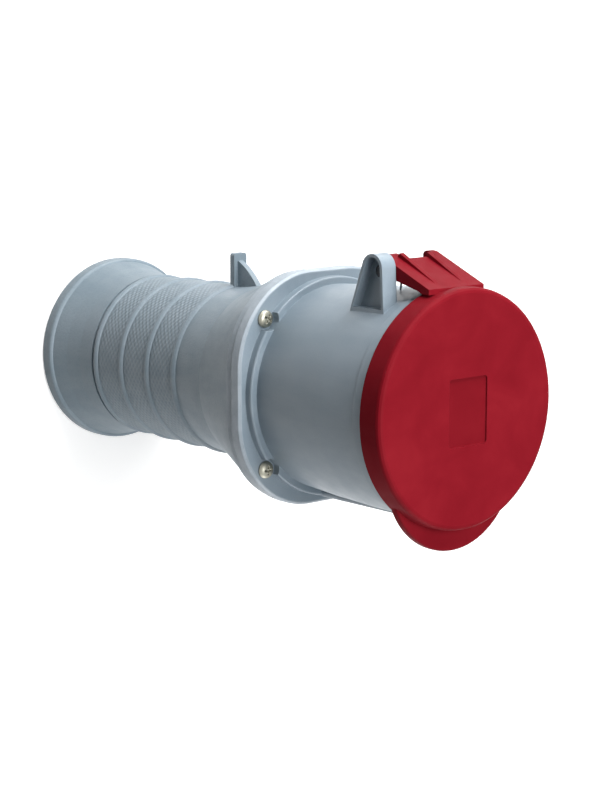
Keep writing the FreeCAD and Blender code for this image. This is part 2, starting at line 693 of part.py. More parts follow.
def carrier_base():
    """Flanged disc behind the carrier, clamped between the two housings."""
    body = fused([cylinder(CARRIER_R, CARRIER_REAR, CARRIER_SHOULDER),
                  cylinder(CARRIER_FLANGE_R, PARTING, CARRIER_SHOULDER)])
    for kind, x, y in contact_spots():
        bore, sleeve, stem, collar, wire = contact_sizes(kind)
        body = body.cut(cylinder(collar + COLLAR_PLAY, CARRIER_REAR - 1, COLLAR_END, x, y))
        body = body.cut(cylinder(sleeve + SLEEVE_PLAY, COLLAR_END - 1, CARRIER_SHOULDER + 1, x, y))
    for degrees in CARRIER_SCREW_ANGLES:
        x, y = on_circle(CARRIER_SCREW_CIRCLE_R, degrees)
        hole_r = CARRIER_SCREW_R + CARRIER_SCREW_PLAY
        body = body.cut(cylinder(hole_r, CARRIER_REAR - 1, CARRIER_SHOULDER + 1, x, y))
    return body


def contact_retainer():
    """Rear plate that keeps the contacts in the carrier."""
    low = CARRIER_REAR - RETAINER_HEIGHT
    body = cylinder(CARRIER_R, low, CARRIER_REAR)
    for kind, x, y in contact_spots():
        stem = contact_sizes(kind)[2]
        body = body.cut(cylinder(stem + SLIP_FIT, low - 1, CARRIER_REAR + 1, x, y))
    for degrees in CARRIER_SCREW_ANGLES:
        x, y = on_circle(CARRIER_SCREW_CIRCLE_R, degrees)
        hole_r = CARRIER_SCREW_R + CARRIER_SCREW_PLAY
        body = body.cut(cylinder(hole_r, low - 1, CARRIER_REAR + 1, x, y))
    return body


def carrier_screws():
    """Screws that hold the retainer, driven from the wiring side."""
    screw = pan_screw(CARRIER_SCREW_R, CARRIER_SCREW_LENGTH,
                      CARRIER_SCREW_HEAD_R, CARRIER_SCREW_HEAD_HEIGHT)
    over = FreeCAD.Rotation(X_AXIS, 180)
    seat = CARRIER_REAR - RETAINER_HEIGHT
    return [placed(screw, *on_circle(CARRIER_SCREW_CIRCLE_R, degrees), seat, over)
            for degrees in CARRIER_SCREW_ANGLES]


def contact(kind, x, y, screw_degrees):
    """Turned socket contact: split sleeve, collar, stem and wire terminal with a threaded hole."""
    bore, sleeve, stem, collar, wire = contact_sizes(kind)
    body = turned((0, TERMINAL_END), [
        (stem - 0.6, TERMINAL_END), (stem, TERMINAL_END + 0.6),
        (stem, CARRIER_REAR), (collar, CARRIER_REAR), (collar, COLLAR_END),
        (sleeve, COLLAR_END), (sleeve, SLEEVE_END - 1.0), (sleeve - 0.8, SLEEVE_END),
        (0, SLEEVE_END)])
    body = body.cut(cylinder(bore, SLEEVE_END - SLEEVE_DEPTH, SLEEVE_END + 1))
    body = body.cut(cylinder(wire, TERMINAL_END - 1, TERMINAL_END + TERMINAL_DEPTH))
    slot_low = SLEEVE_END - SLOT_DEPTH
    reach, half = sleeve + 1, SLOT_WIDTH / 2
    body = body.cut(box((-reach, -half, slot_low), (reach, half, SLEEVE_END + 1)))
    body = body.cut(box((-half, -reach, slot_low), (half, reach, SLEEVE_END + 1)))
    body = body.cut(spring_ring(sleeve, RING_PLAY))
    hole_r = (PILOT_SCREW_R if kind == "pilot" else TERMINAL_SCREW_R) + THREAD_FIT
    level = TERMINAL_END + TERMINAL_SCREW_HEIGHT
    body = body.cut(cross_bar(hole_r, 0, stem + 1, 0, level))
    return placed(body, x, y, 0, FreeCAD.Rotation(Z_AXIS, screw_degrees))


def spring_ring(sleeve, play=0.0, x=0.0, y=0.0):
    """Flat ring sunk in a sleeve, or the wider groove for it."""
    middle = SLEEVE_END - RING_BELOW
    half = RING_WIDTH / 2 + play
    inner = sleeve - RING_SINK - play
    return tube(inner, sleeve - RING_SINK + RING_THICK, middle - half, middle + half, x, y)


def contact_spring_rings():
    """Steel rings that press the sleeve fingers on to the plug pins."""
    return [spring_ring(contact_sizes(kind)[1], 0.0, x, y) for kind, x, y in contact_spots()]


def grub_screw(radius, start, end):
    """Slotted clamp screw along +X with a point for the wire."""
    body = Part.makeCylinder(radius, end - start - 1, V(start + 1, 0, 0), X_AXIS)
    point = Part.makeCone(radius * 0.55, radius, 1, V(start, 0, 0), X_AXIS)
    slot = box((end - 1.2, -0.5, -radius - 1), (end + 1, 0.5, radius + 1))
    return fused([body, point]).cut(slot)


def terminal_screw(kind, x, y, degrees):
    """Clamp screw of one terminal, pointing away from the coupler axis."""
    bore, sleeve, stem, collar, wire = contact_sizes(kind)
    radius = PILOT_SCREW_R if kind == "pilot" else TERMINAL_SCREW_R
    screw = grub_screw(radius, wire - 2.0, stem + 1.2)
    level = TERMINAL_END + TERMINAL_SCREW_HEIGHT
    return placed(screw, x, y, level, FreeCAD.Rotation(Z_AXIS, degrees))


def clamp_lower():
    """Lower half of the cable clamp, seated in the grip bore."""
    top = CLAMP_START + CLAMP_HEIGHT
    body = cylinder(GRIP_BORE_R - SLIP_FIT, CLAMP_START, top)
    body = body.cut(cylinder(CLAMP_BORE_R, CLAMP_START - 1, top + 1))
    body = body.common(box((-GRIP_R, -GRIP_R, CLAMP_START - 1), (GRIP_R, 0, top + 1)))
    middle = CLAMP_START + CLAMP_HEIGHT / 2
    for side in (-1, 1):
        hole = Part.makeCylinder(CLAMP_SCREW_R + THREAD_FIT, CLAMP_HOLE, V(side * CLAMP_SCREW_X, 1, middle),
                                 V(0, -1, 0))
        body = body.cut(hole)
    return body


def clamp_upper():
    """Arched strap over the cable with an ear for a screw at each end."""
    top = CLAMP_START + CLAMP_HEIGHT
    span = CLAMP_SCREW_X + CLAMP_EAR
    arch = cylinder(CLAMP_ARCH_R, CLAMP_START, top)
    ears = box((-span, CLAMP_GAP, CLAMP_START), (span, CLAMP_EAR_HEIGHT, top))
    body = fused([arch, ears]).cut(cylinder(CLAMP_BORE_R, CLAMP_START - 1, top + 1))
    body = body.common(box((-GRIP_R, CLAMP_GAP, CLAMP_START - 1), (GRIP_R, GRIP_R, top + 1)))
    middle = CLAMP_START + CLAMP_HEIGHT / 2
    for side in (-1, 1):
        hole = Part.makeCylinder(CLAMP_SCREW_R + 0.25, GRIP_R, V(side * CLAMP_SCREW_X, -5, middle),
                                 V(0, 1, 0))
        body = body.cut(hole)
    return body


def clamp_screws():
    """Two screws that close the cable clamp."""
    screw = pan_screw(CLAMP_SCREW_R, CLAMP_SCREW_LENGTH, CLAMP_HEAD_R, CLAMP_HEAD_HEIGHT)
    up = FreeCAD.Rotation(X_AXIS, -90)
    middle = CLAMP_START + CLAMP_HEIGHT / 2
    return [placed(screw, side * CLAMP_SCREW_X, CLAMP_EAR_HEIGHT, middle, up) for side in (-1, 1)]


def hinge_pin():
    """Headed pin, its head in the cored side of the outer ear."""
    shank = cross_bar(PIN_R, PIN_SEAT_X - PIN_HEAD_HEIGHT / 2, ARM_FAR_X + PIN_TAIL, PIN_Y, PIN_Z)
    head = cross_bar(PIN_HEAD_R, PIN_SEAT_X - PIN_HEAD_HEIGHT, PIN_SEAT_X, PIN_Y, PIN_Z)
    return fused([shank, head])


def pin_clip():
    """Push-on washer at the far end of the pin."""
    left = ARM_FAR_X + CLIP_GAP
    disc = cross_bar(CLIP_R, left, left + CLIP_HEIGHT, PIN_Y, PIN_Z)
    return disc.cut(cross_bar(PIN_R, left - 1, left + 3, PIN_Y, PIN_Z))


def spring_point(degrees):
    """Point and direction of the spring wire after a turn of so many degrees from its first end."""
    turn = math.radians(degrees)
    rise = SPRING_PITCH / (2 * math.pi)
    x = SPRING_START_X + rise * turn
    place = V(x, PIN_Y + SPRING_MEAN_R * math.sin(turn), PIN_Z - SPRING_MEAN_R * math.cos(turn))
    along = V(rise, SPRING_MEAN_R * math.cos(turn), SPRING_MEAN_R * math.sin(turn))
    return place, along.normalize()


def arm_leg(radius, length):
    """Straight end of the spring, or the hole for it, in the lid arm."""
    place, along = spring_point(SPRING_TURN)
    return Part.makeCylinder(radius, length, place, along)


def lid_spring():
    """Torsion spring about the pin, one leg on the barrel and one in the lid arm."""
    count = math.ceil(SPRING_TURN / SPRING_STEP)
    course = [spring_point(SPRING_TURN * k / count)[0] for k in range(count + 1)]
    place, along = spring_point(0)
    across = X_AXIS.cross(along).normalize()
    up = along.cross(across)
    corners = []
    for k in range(WIRE_SIDES + 1):
        a, b = on_circle(SPRING_WIRE_R, k * 360.0 / WIRE_SIDES)
        corners.append(place.add(V(across).multiply(a)).add(V(up).multiply(b)))
    section = Part.makePolygon(corners)
    mitred = 1
    coil = Part.makePolygon(course).makePipeShell([section], True, False, mitred)
    seat = math.sqrt(barrel_r(PIN_Z) ** 2 - place.x ** 2) + SPRING_WIRE_R
    rest = Part.makeCylinder(SPRING_WIRE_R, (place.y - seat) / along.y, place, along.negative())
    return coil.fuse([rest, arm_leg(SPRING_WIRE_R, SPRING_ARM_LEG)])


def arm_side(width_from, width_to):
    """Slab of the lid arm between two x planes: hood over the pin, slope down to the lid rim."""
    return side_plate((PIN_Y - CHEEK_BACK, HOOD_BACK + 1.5), [
        (HOOD_TOP - 2.0, HOOD_BACK),
        (HOOD_TOP - 0.6, HOOD_BACK + 0.6, HOOD_TOP, HOOD_BACK + 2.0),
        (HOOD_TOP - 0.3, HOOD_FLAT_END),
        (LID_R - 0.2, ARM_JOIN_Z),
        (LID_R - LID_WALL + 0.5, ARM_JOIN_Z),
        (LID_R - LID_WALL + 0.5, ARM_END_Z),
        (ARM_UNDER_END, LID_SKIRT_START - 1.0),
        (ARM_UNDER, PIN_Z + 6.0),
        (PIN_Y - CHEEK_BACK, PIN_Z + 1.5)], width_from, width_to)


def lid_arm():
    """Arm of the lid: two cheeks on the pin and a hood over the spring and the inner ear."""
    body = arm_side(ARM_NEAR_X, ARM_FAR_X)
    left, right = ARM_NEAR_X + CHEEK_NEAR, ARM_FAR_X - CHEEK_FAR
    well = fused([
        cross_bar(HOOD_INNER_R, left, right, PIN_Y, PIN_Z),
        box((left, PIN_Y - WELL_DEPTH, HOOD_BACK - 1), (right, PIN_Y, PIN_Z + HOOD_INNER_R)),
        box((left, PIN_Y - WELL_DEPTH, HOOD_BACK - 1), (right, PIN_Y + HOOD_INNER_R, PIN_Z))])
    body = body.cut(well)
    return body.cut(cross_bar(PIN_R + RUN_FIT, ARM_NEAR_X - 1, ARM_FAR_X + 1, PIN_Y, PIN_Z))


def hood_notch():
    """Cut-out in the back of the hood that lets it swing past the second ear and the spring."""
    return box((SPRING_START_X - SPRING_NOTCH_ROOM, PIN_Y, HOOD_BACK - 1),
               (INNER_EAR_END_X + MOVE_GAP, HOOD_TOP + 3, PIN_Z + NOTCH_ABOVE_PIN))


def arm_ribs():
    """Two low ribs along the sloping top of the arm."""
    ribs = []
    for x in ARM_RIB_X:
        high = HOOD_TOP - 0.3 + ARM_RIB_HEIGHT
        low = LID_R - 0.2 + ARM_RIB_HEIGHT * 0.5
        ribs.append(side_plate((high - 3.0, HOOD_FLAT_END), [
            (high, HOOD_FLAT_END + 2.5),
            (low, ARM_JOIN_Z - 1.5),
            (low - 2.0, ARM_JOIN_Z - 1.5)],
            x - ARM_RIB_WIDTH / 2, x + ARM_RIB_WIDTH / 2))
    return ribs


def lid_cap():
    """Turned cap of the lid with a rounded edge, a skirt and a gasket seat."""
    edge = LID_EDGE_R * 0.293
    return turned((0, LID_SKIRT_START), [
        (LID_R, LID_SKIRT_START),
        (LID_R - 0.3, LID_FACE - LID_EDGE_R),
        (LID_R - 0.3 - edge, LID_FACE - edge, LID_R - 0.3 - LID_EDGE_R, LID_FACE),
        (0, LID_FACE)])


def thumb_tab():
    """Crescent at the foot of the lid for lifting it."""
    centre_y = TAB_R - TAB_REACH
    top = LID_SKIRT_START + TAB_HEIGHT
    face = turned((0, LID_SKIRT_START), [
        (TAB_R - TAB_EDGE, LID_SKIRT_START),
        (TAB_R - TAB_EDGE * 0.3, LID_SKIRT_START + TAB_EDGE * 0.3,
         TAB_R, LID_SKIRT_START + TAB_EDGE),
        (TAB_R, top - TAB_EDGE),
        (TAB_R - TAB_EDGE * 0.3, top - TAB_EDGE * 0.3, TAB_R - TAB_EDGE, top),
        (0, top)])
    face.translate(V(0, centre_y, 0))
    return face


def lid():
    """Spring lid with its arm, thumb tab, sunk panel and gasket seat."""
    cavity_top = LID_FACE - LID_TOP_WALL
    body = fused([lid_cap(), thumb_tab()])
    body = fused([body, arm_side(ARM_NEAR_X, ARM_FAR_X)] + arm_ribs())
    body = body.cut(arm_side(ARM_NEAR_X, ARM_FAR_X).cut(lid_arm())).cut(hood_notch())
    body = body.cut(arm_leg(SPRING_WIRE_R + SPRING_LEG_AIR, SPRING_ARM_LEG + SPRING_LEG_AIR))
    body = body.cut(cylinder(LID_R - LID_WALL, LID_SKIRT_START - 1, cavity_top))
    rib_out = LID_GASKET_IN_R - 0.1
    rib = tube(rib_out - LID_RIB_WIDTH, rib_out, cavity_top - LID_RIB_HEIGHT, cavity_top + 0.5)
    body = fused([body, rib])
    half_x, half_y = PANEL_WIDTH / 2, PANEL_HEIGHT / 2
    panel = box((-half_x, -half_y - PANEL_DROP, LID_FACE - PANEL_DEPTH),
                (half_x, half_y - PANEL_DROP, LID_FACE + 2))
    corners = [e for e in panel.Edges if e.BoundBox.ZLength > 2]
    return body.cut(panel.makeFillet(PANEL_CORNER_R, corners))


def lid_gasket():
    """Flat rubber ring in the lid, over the mouth of the collar."""
    top = LID_FACE - LID_TOP_WALL
    return tube(LID_GASKET_IN_R, LID_GASKET_OUT_R, MOUTH_END + LID_GASKET_GAP, top)


def save(node, shape):
    """Write a node; a list is a group of separate solids."""
    solids = shape if isinstance(shape, list) else [shape]
    whole = Part.makeCompound([s for part in solids for s in part.Solids])
    if len(whole.Solids) == 1:
        whole = whole.Solids[0]
    print(node, "solids", len(whole.Solids), "valid", whole.isValid(), "mm3", round(whole.Volume))
    whole.exportStep("parts/" + node + ".step")


def main():
    os.makedirs("parts", exist_ok=True)
    spots = contact_spots()
    names = ["contact_earth", "contact_neutral", "contact_l1", "contact_l2", "contact_l3",
             "contact_pilot"]
    turns = [math.degrees(math.atan2(y, x)) for kind, x, y in spots[:-1]] + [EARTH_ANGLE + 36.0]
    save("gland_nut", gland_nut())
    save("gland_thrust_ring", gland_thrust_ring())
    save("gland_seal", gland_seal())
    save("rear_housing", rear_housing())
    save("flange_gasket", flange_gasket())
    save("screw_inserts", screw_inserts())
    save("housing_screws", housing_screws())
    save("front_housing", front_housing())
    save("contact_carrier", contact_carrier())
    save("carrier_base", carrier_base())
    save("contact_retainer", contact_retainer())
    save("carrier_screws", carrier_screws())
    for name, spot, degrees in zip(names, spots, turns):
        save(name, contact(*spot, degrees))
    save("contact_spring_rings", contact_spring_rings())
    save("terminal_screws", [terminal_screw(*spot, degrees)
                             for spot, degrees in zip(spots[:-1], turns)])
    save("pilot_terminal_screw", terminal_screw(*spots[-1], turns[-1]))
    save("cable_clamp_lower", clamp_lower())
    save("cable_clamp_upper", clamp_upper())
    save("cable_clamp_screws", clamp_screws())
    save("hinge_pin", hinge_pin())
    save("pin_clip", pin_clip())
    save("lid_spring", lid_spring())
    save("lid", lid())
    save("lid_gasket", lid_gasket())


main()
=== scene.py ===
# %% [markdown]
# # An industrial cable coupler in Blender
#
# The solids of the coupler come from CAD and stay as they are. This lesson gives them the look of
# the real object: moulded polyamide with a fine grain, a duller red lid, zinc-plated screws and
# brass contacts, under a plain studio light. Blender works in metres here, and small sizes are
# written in millimetres and divided by 1000 where they are used.

# %% Load the solids
import math

import bpy
import numpy as np
from mathutils import Matrix, Vector


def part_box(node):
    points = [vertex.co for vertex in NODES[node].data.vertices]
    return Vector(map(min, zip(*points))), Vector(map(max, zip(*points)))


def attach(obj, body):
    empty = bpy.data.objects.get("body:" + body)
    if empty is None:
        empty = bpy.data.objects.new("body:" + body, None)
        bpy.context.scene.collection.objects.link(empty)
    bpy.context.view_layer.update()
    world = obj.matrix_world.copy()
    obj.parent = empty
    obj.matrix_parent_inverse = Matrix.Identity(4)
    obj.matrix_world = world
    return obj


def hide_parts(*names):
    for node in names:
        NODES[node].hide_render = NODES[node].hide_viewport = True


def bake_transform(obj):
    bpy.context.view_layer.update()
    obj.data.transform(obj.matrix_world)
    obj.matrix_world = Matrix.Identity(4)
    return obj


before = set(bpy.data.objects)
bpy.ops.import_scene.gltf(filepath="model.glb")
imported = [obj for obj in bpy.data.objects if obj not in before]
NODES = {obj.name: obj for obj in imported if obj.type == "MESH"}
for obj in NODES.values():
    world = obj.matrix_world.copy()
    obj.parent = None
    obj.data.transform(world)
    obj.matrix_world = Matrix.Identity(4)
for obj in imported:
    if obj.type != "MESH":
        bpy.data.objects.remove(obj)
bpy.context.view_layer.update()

# %% [markdown]
# ## The camera
#
# The camera stands about 0.9 metres from the lid. The photograph shows the coupler lying across
# the picture. Here it stands on its cable end instead, so the camera is turned about its own line
# of sight until the picture matches. Its three axes are written as columns: right, up and
# backwards.

# %% Camera
CAMERA_PLACE = (-0.6392, 0.1564, 0.8659)
CAMERA_RIGHT = (0.7495, -0.0003, 0.6620)
CAMERA_UP = (0.1123, 0.9856, -0.1267)
CAMERA_BACK = (-0.6524, 0.1693, 0.7387)
LENS, SENSOR_WIDTH = 95.3, 36.0     # millimetres

camera_data = bpy.data.cameras.new("camera")
camera_data.lens = LENS
camera_data.sensor_width = SENSOR_WIDTH
camera = bpy.data.objects.new("camera", camera_data)
turn = Matrix((CAMERA_RIGHT, CAMERA_UP, CAMERA_BACK)).transposed()
camera.matrix_world = Matrix.Translation(CAMERA_PLACE) @ turn.to_4x4()
bpy.context.scene.collection.objects.link(camera)
bpy.context.scene.camera = camera
bpy.context.scene.view_settings.view_transform = "Standard"
print("camera", round(Vector(CAMERA_PLACE).length, 3), "m from the origin")

# %% [markdown]
# ## Two helpers for materials
#
# A colour is picked from the photograph as an sRGB hex value, but a shader works in linear light,
# so one function converts it. The other adds one node to a material, with its settings and its
# links, and everything below is built from it.

# %% Helpers for materials


def linear(hex_colour):
    """sRGB hex to linear RGBA: divide by 12.92 below 0.04045, else ((c + 0.055) / 1.055) ** 2.4."""
    srgb = np.array([int(hex_colour[i:i + 2], 16) for i in (1, 3, 5)]) / 255
    light = np.where(srgb <= 0.04045, srgb / 12.92, ((srgb + 0.055) / 1.055) ** 2.4)
    return (*(float(c) for c in light), 1.0)


def add(tree, kind, inputs=None, **settings):
    """Adds a node. Each input is a value for its socket, or the socket that feeds it."""
    node = tree.nodes.new(kind)
    for name, value in settings.items():
        setattr(node, name, value)
    for name, value in (inputs or {}).items():
        if isinstance(value, bpy.types.NodeSocket):
            tree.links.new(value, node.inputs[name])
        else:
            node.inputs[name].default_value = value
    return node


def new_material(name):
    """Empty material with an output; returns it, its tree and its output node."""
    material = bpy.data.materials.new(name)
    material.use_nodes = True
    material.node_tree.nodes.clear()
    return material, material.node_tree, material.node_tree.nodes.new("ShaderNodeOutputMaterial")


MM = 1000.0     # millimetres to a metre; a texture scale of MM / s has features s millimetres wide
print("grey of the body in linear light:", tuple(round(c, 3) for c in linear("#84929D")[:3]))

# %% [markdown]
# ## Moulded polyamide
#
# The housings are injection-moulded polyamide 6, a satin grey with a blue cast. The steel mould is
# spark-eroded, which leaves a fine grain on the part, coarser on the grip so that a wet hand holds
# it. The melt runs along the coupler as the mould fills, so its tone changes in long soft streaks.
# Noise as a bump gives the grain, a stretched noise the streaks, and a Bevel node rounds the
# shading of the edges, as polishing rounds the edges of a mould. Between its rings the grip has a
# fine diamond knurl, whose grooves are darkened with painted shade. The flange's edge gets a paler
# band of painted light, broken up by noise.

# %% Moulded polyamide
STREAK, STREAK_STRETCH = 22.0, 0.22     # width in millimetres, and the squeeze of its noise along Z
PEEL, EDGE_ROUND = 6.0, 0.45            # millimetres: uneven gloss, and how far an edge is softened
PIT_COLOUR = "#2E3A42"


def moulded(name, tones, roughness, gloss, grain_mm, depth_mm, speckle=0.0, masks=()):
    """Moulded plastic: streaks between three tones, a fine grain, and pits as dark as speckle."""
    material, tree, output = new_material(name)
    place = add(tree, "ShaderNodeTexCoord").outputs["Object"]
    along = add(tree, "ShaderNodeMapping", {"Vector": place, "Scale": (1.0, 1.0, STREAK_STRETCH)})
    streak = add(tree, "ShaderNodeTexNoise",
                 {"Vector": along.outputs["Vector"], "Scale": MM / STREAK, "Detail": 4.0,
                  "Roughness": 0.55, "Distortion": 0.4})
    tone = add(tree, "ShaderNodeValToRGB", {"Fac": streak.outputs["Fac"]})
    ramp = tone.color_ramp.elements
    ramp[0].position, ramp[0].color = 0.30, linear(tones[0])
    ramp[1].position, ramp[1].color = 0.72, linear(tones[2])
    ramp.new(0.5).color = linear(tones[1])
    grain = add(tree, "ShaderNodeTexNoise",
                {"Vector": place, "Scale": MM / grain_mm, "Detail": 3.0, "Roughness": 0.6})
    pit = add(tree, "ShaderNodeMapRange",
              {"Value": grain.outputs["Fac"], "From Min": 0.30, "From Max": 0.52,
               "To Min": speckle, "To Max": 0.0})
    pitted = add(tree, "ShaderNodeMix", {"Factor": pit.outputs["Result"]}, data_type="RGBA")
    tree.links.new(tone.outputs["Color"], pitted.inputs["A"])
    pitted.inputs["B"].default_value = linear(PIT_COLOUR)
    colour = pitted.outputs["Result"]
    for mask in masks:
        colour = mask(tree, place, colour)
    peel = add(tree, "ShaderNodeTexNoise",
               {"Vector": place, "Scale": MM / PEEL, "Detail": 2.0, "Roughness": 0.5})
    skin = add(tree, "ShaderNodeMapRange",
               {"Value": peel.outputs["Fac"], "From Min": 0.3, "From Max": 0.7,
                "To Min": roughness - 0.05, "To Max": roughness + 0.06})
    edge = add(tree, "ShaderNodeBevel", {"Radius": EDGE_ROUND / MM}, samples=6)
    relief = add(tree, "ShaderNodeBump",
                 {"Height": grain.outputs["Fac"], "Strength": 0.7, "Distance": depth_mm / MM,
                  "Normal": edge.outputs["Normal"]})
    shader = add(tree, "ShaderNodeBsdfPrincipled",
                 {"Base Color": colour, "Roughness": skin.outputs["Result"],
                  "Normal": relief.outputs["Normal"], "IOR": 1.53, "Specular IOR Level": gloss})
    tree.links.new(shader.outputs["BSDF"], output.inputs["Surface"])
    return material


PANEL_BOX = (("X", 0.0, 11.3), ("Y", -0.8, 14.6), ("Z", 248.8, 0.55))   # axis, middle, half
PANEL_FADE, PANEL_SHARE, PANEL_COLOUR = 0.25, 0.55, "#640C15"


def sunk_panel(tree, place, colour):
    """Darkens the lid's sunk panel: a product of ramps in x, y and z, each 1 inside its box."""
    axes = add(tree, "ShaderNodeSeparateXYZ", {"Vector": place})
    shares = []
    for axis, middle, half in PANEL_BOX:
        shift = add(tree, "ShaderNodeMath", {0: axes.outputs[axis], 1: middle / MM},
                    operation="SUBTRACT")
        away = add(tree, "ShaderNodeMath", {0: shift.outputs["Value"]}, operation="ABSOLUTE")
        inside = add(tree, "ShaderNodeMapRange",
                     {"Value": away.outputs["Value"], "From Min": (half - PANEL_FADE) / MM,
                      "From Max": half / MM, "To Min": 1.0, "To Max": 0.0})
        shares.append(inside.outputs["Result"])
    flat = add(tree, "ShaderNodeMath", {0: shares[0], 1: shares[1]}, operation="MULTIPLY")
    here = add(tree, "ShaderNodeMath", {0: flat.outputs["Value"], 1: shares[2]},
               operation="MULTIPLY")
    part = add(tree, "ShaderNodeMath", {0: here.outputs["Value"], 1: PANEL_SHARE},
               operation="MULTIPLY")
    mixed = add(tree, "ShaderNodeMix", {"Factor": part.outputs["Value"], "A": colour},
                data_type="RGBA")
    mixed.inputs["B"].default_value = linear(PANEL_COLOUR)
    return mixed.outputs["Result"]


KNURL_PITCH, KNURL_AROUND = 2.8, 66     # millimetres along, and waves round the grip
RING_FIRST, RING_PITCH, RING_COUNT = 35.9, 20.6, 4      # the rings of the grip, in millimetres
# painted shade in the knurl's grooves: its share and its colour
GROOVE_SHADE_SHARE, GROOVE_SHADE_COLOUR = 0.22, "#3E4C54"


def knurl_groove_shade(tree, place, colour):
    """Darkens the grooves of the knurl with painted shade.

    Two helical waves cross: cos(k z + n a) and cos(k z - n a), with a = atan2(y, x). Their sum,
    from -2 to 2, is low in the grooves. The rings and both ends of the grip keep their colour.
    """
    axes = add(tree, "ShaderNodeSeparateXYZ", {"Vector": place})
    turn = add(tree, "ShaderNodeMath", {0: axes.outputs["Y"], 1: axes.outputs["X"]},
               operation="ARCTAN2")
    around = add(tree, "ShaderNodeMath", {0: turn.outputs["Value"], 1: float(KNURL_AROUND)},
                 operation="MULTIPLY")
    along = add(tree, "ShaderNodeMath", {0: axes.outputs["Z"], 1: 2 * math.pi * MM / KNURL_PITCH},
                operation="MULTIPLY")
    waves = []
    for operation in ("ADD", "SUBTRACT"):
        phase = add(tree, "ShaderNodeMath", {0: along.outputs["Value"], 1: around.outputs["Value"]},
                    operation=operation)
        waves.append(add(tree, "ShaderNodeMath", {0: phase.outputs["Value"]}, operation="COSINE"))
    relief = add(tree, "ShaderNodeMath",
                 {0: waves[0].outputs["Value"], 1: waves[1].outputs["Value"]}, operation="ADD")
    groove = add(tree, "ShaderNodeMapRange",
                 {"Value": relief.outputs["Value"], "From Min": -2.0, "From Max": 0.4,
                  "To Min": GROOVE_SHADE_SHARE, "To Max": 0.0})
    past = add(tree, "ShaderNodeMath",
               {0: axes.outputs["Z"], 1: 2 * math.pi * MM / RING_PITCH,
                2: -2 * math.pi * RING_FIRST / RING_PITCH}, operation="MULTIPLY_ADD")
    nearness = add(tree, "ShaderNodeMath", {0: past.outputs["Value"]}, operation="COSINE")
    between = add(tree, "ShaderNodeMapRange",
                  {"Value": nearness.outputs["Value"], "From Min": 0.80, "From Max": 0.70,
                   "To Min": 0.0, "To Max": 1.0})
    middle = (2 * RING_FIRST + (RING_COUNT - 1) * RING_PITCH) / 2
    shift = add(tree, "ShaderNodeMath", {0: axes.outputs["Z"], 1: middle / MM},
                operation="SUBTRACT")
    away = add(tree, "ShaderNodeMath", {0: shift.outputs["Value"]}, operation="ABSOLUTE")
    inside = add(tree, "ShaderNodeMath", {0: away.outputs["Value"], 1: (middle - RING_FIRST) / MM},
                 operation="LESS_THAN")
    field = add(tree, "ShaderNodeMath", {0: between.outputs["Result"], 1: inside.outputs["Value"]},
                operation="MULTIPLY")
    part = add(tree, "ShaderNodeMath", {0: groove.outputs["Result"], 1: field.outputs["Value"]},
               operation="MULTIPLY")
    dark = add(tree, "ShaderNodeMix", {"Factor": part.outputs["Value"], "A": colour},
               data_type="RGBA")
    dark.inputs["B"].default_value = linear(GROOVE_SHADE_COLOUR)
    return dark.outputs["Result"]


FLANGE_FLAT, FLANGE_MIDDLE = 11.0, 158.0            # half of a flat side, and height along Z
RIM_LIGHT_START, RIM_LIGHT_FULL, RIM_LIGHT_REACH = 40.8, 41.8, 5.5      # painted light on the flange's edge: where it starts and is full outwards, and its reach up and down
RIM_LIGHT_FADE, RIM_LIGHT_PATCH, RIM_LIGHT_COLOUR = 0.5, 7.0, "#B4BEC7"       # painted light: its fade, the width of a patch, and its colour


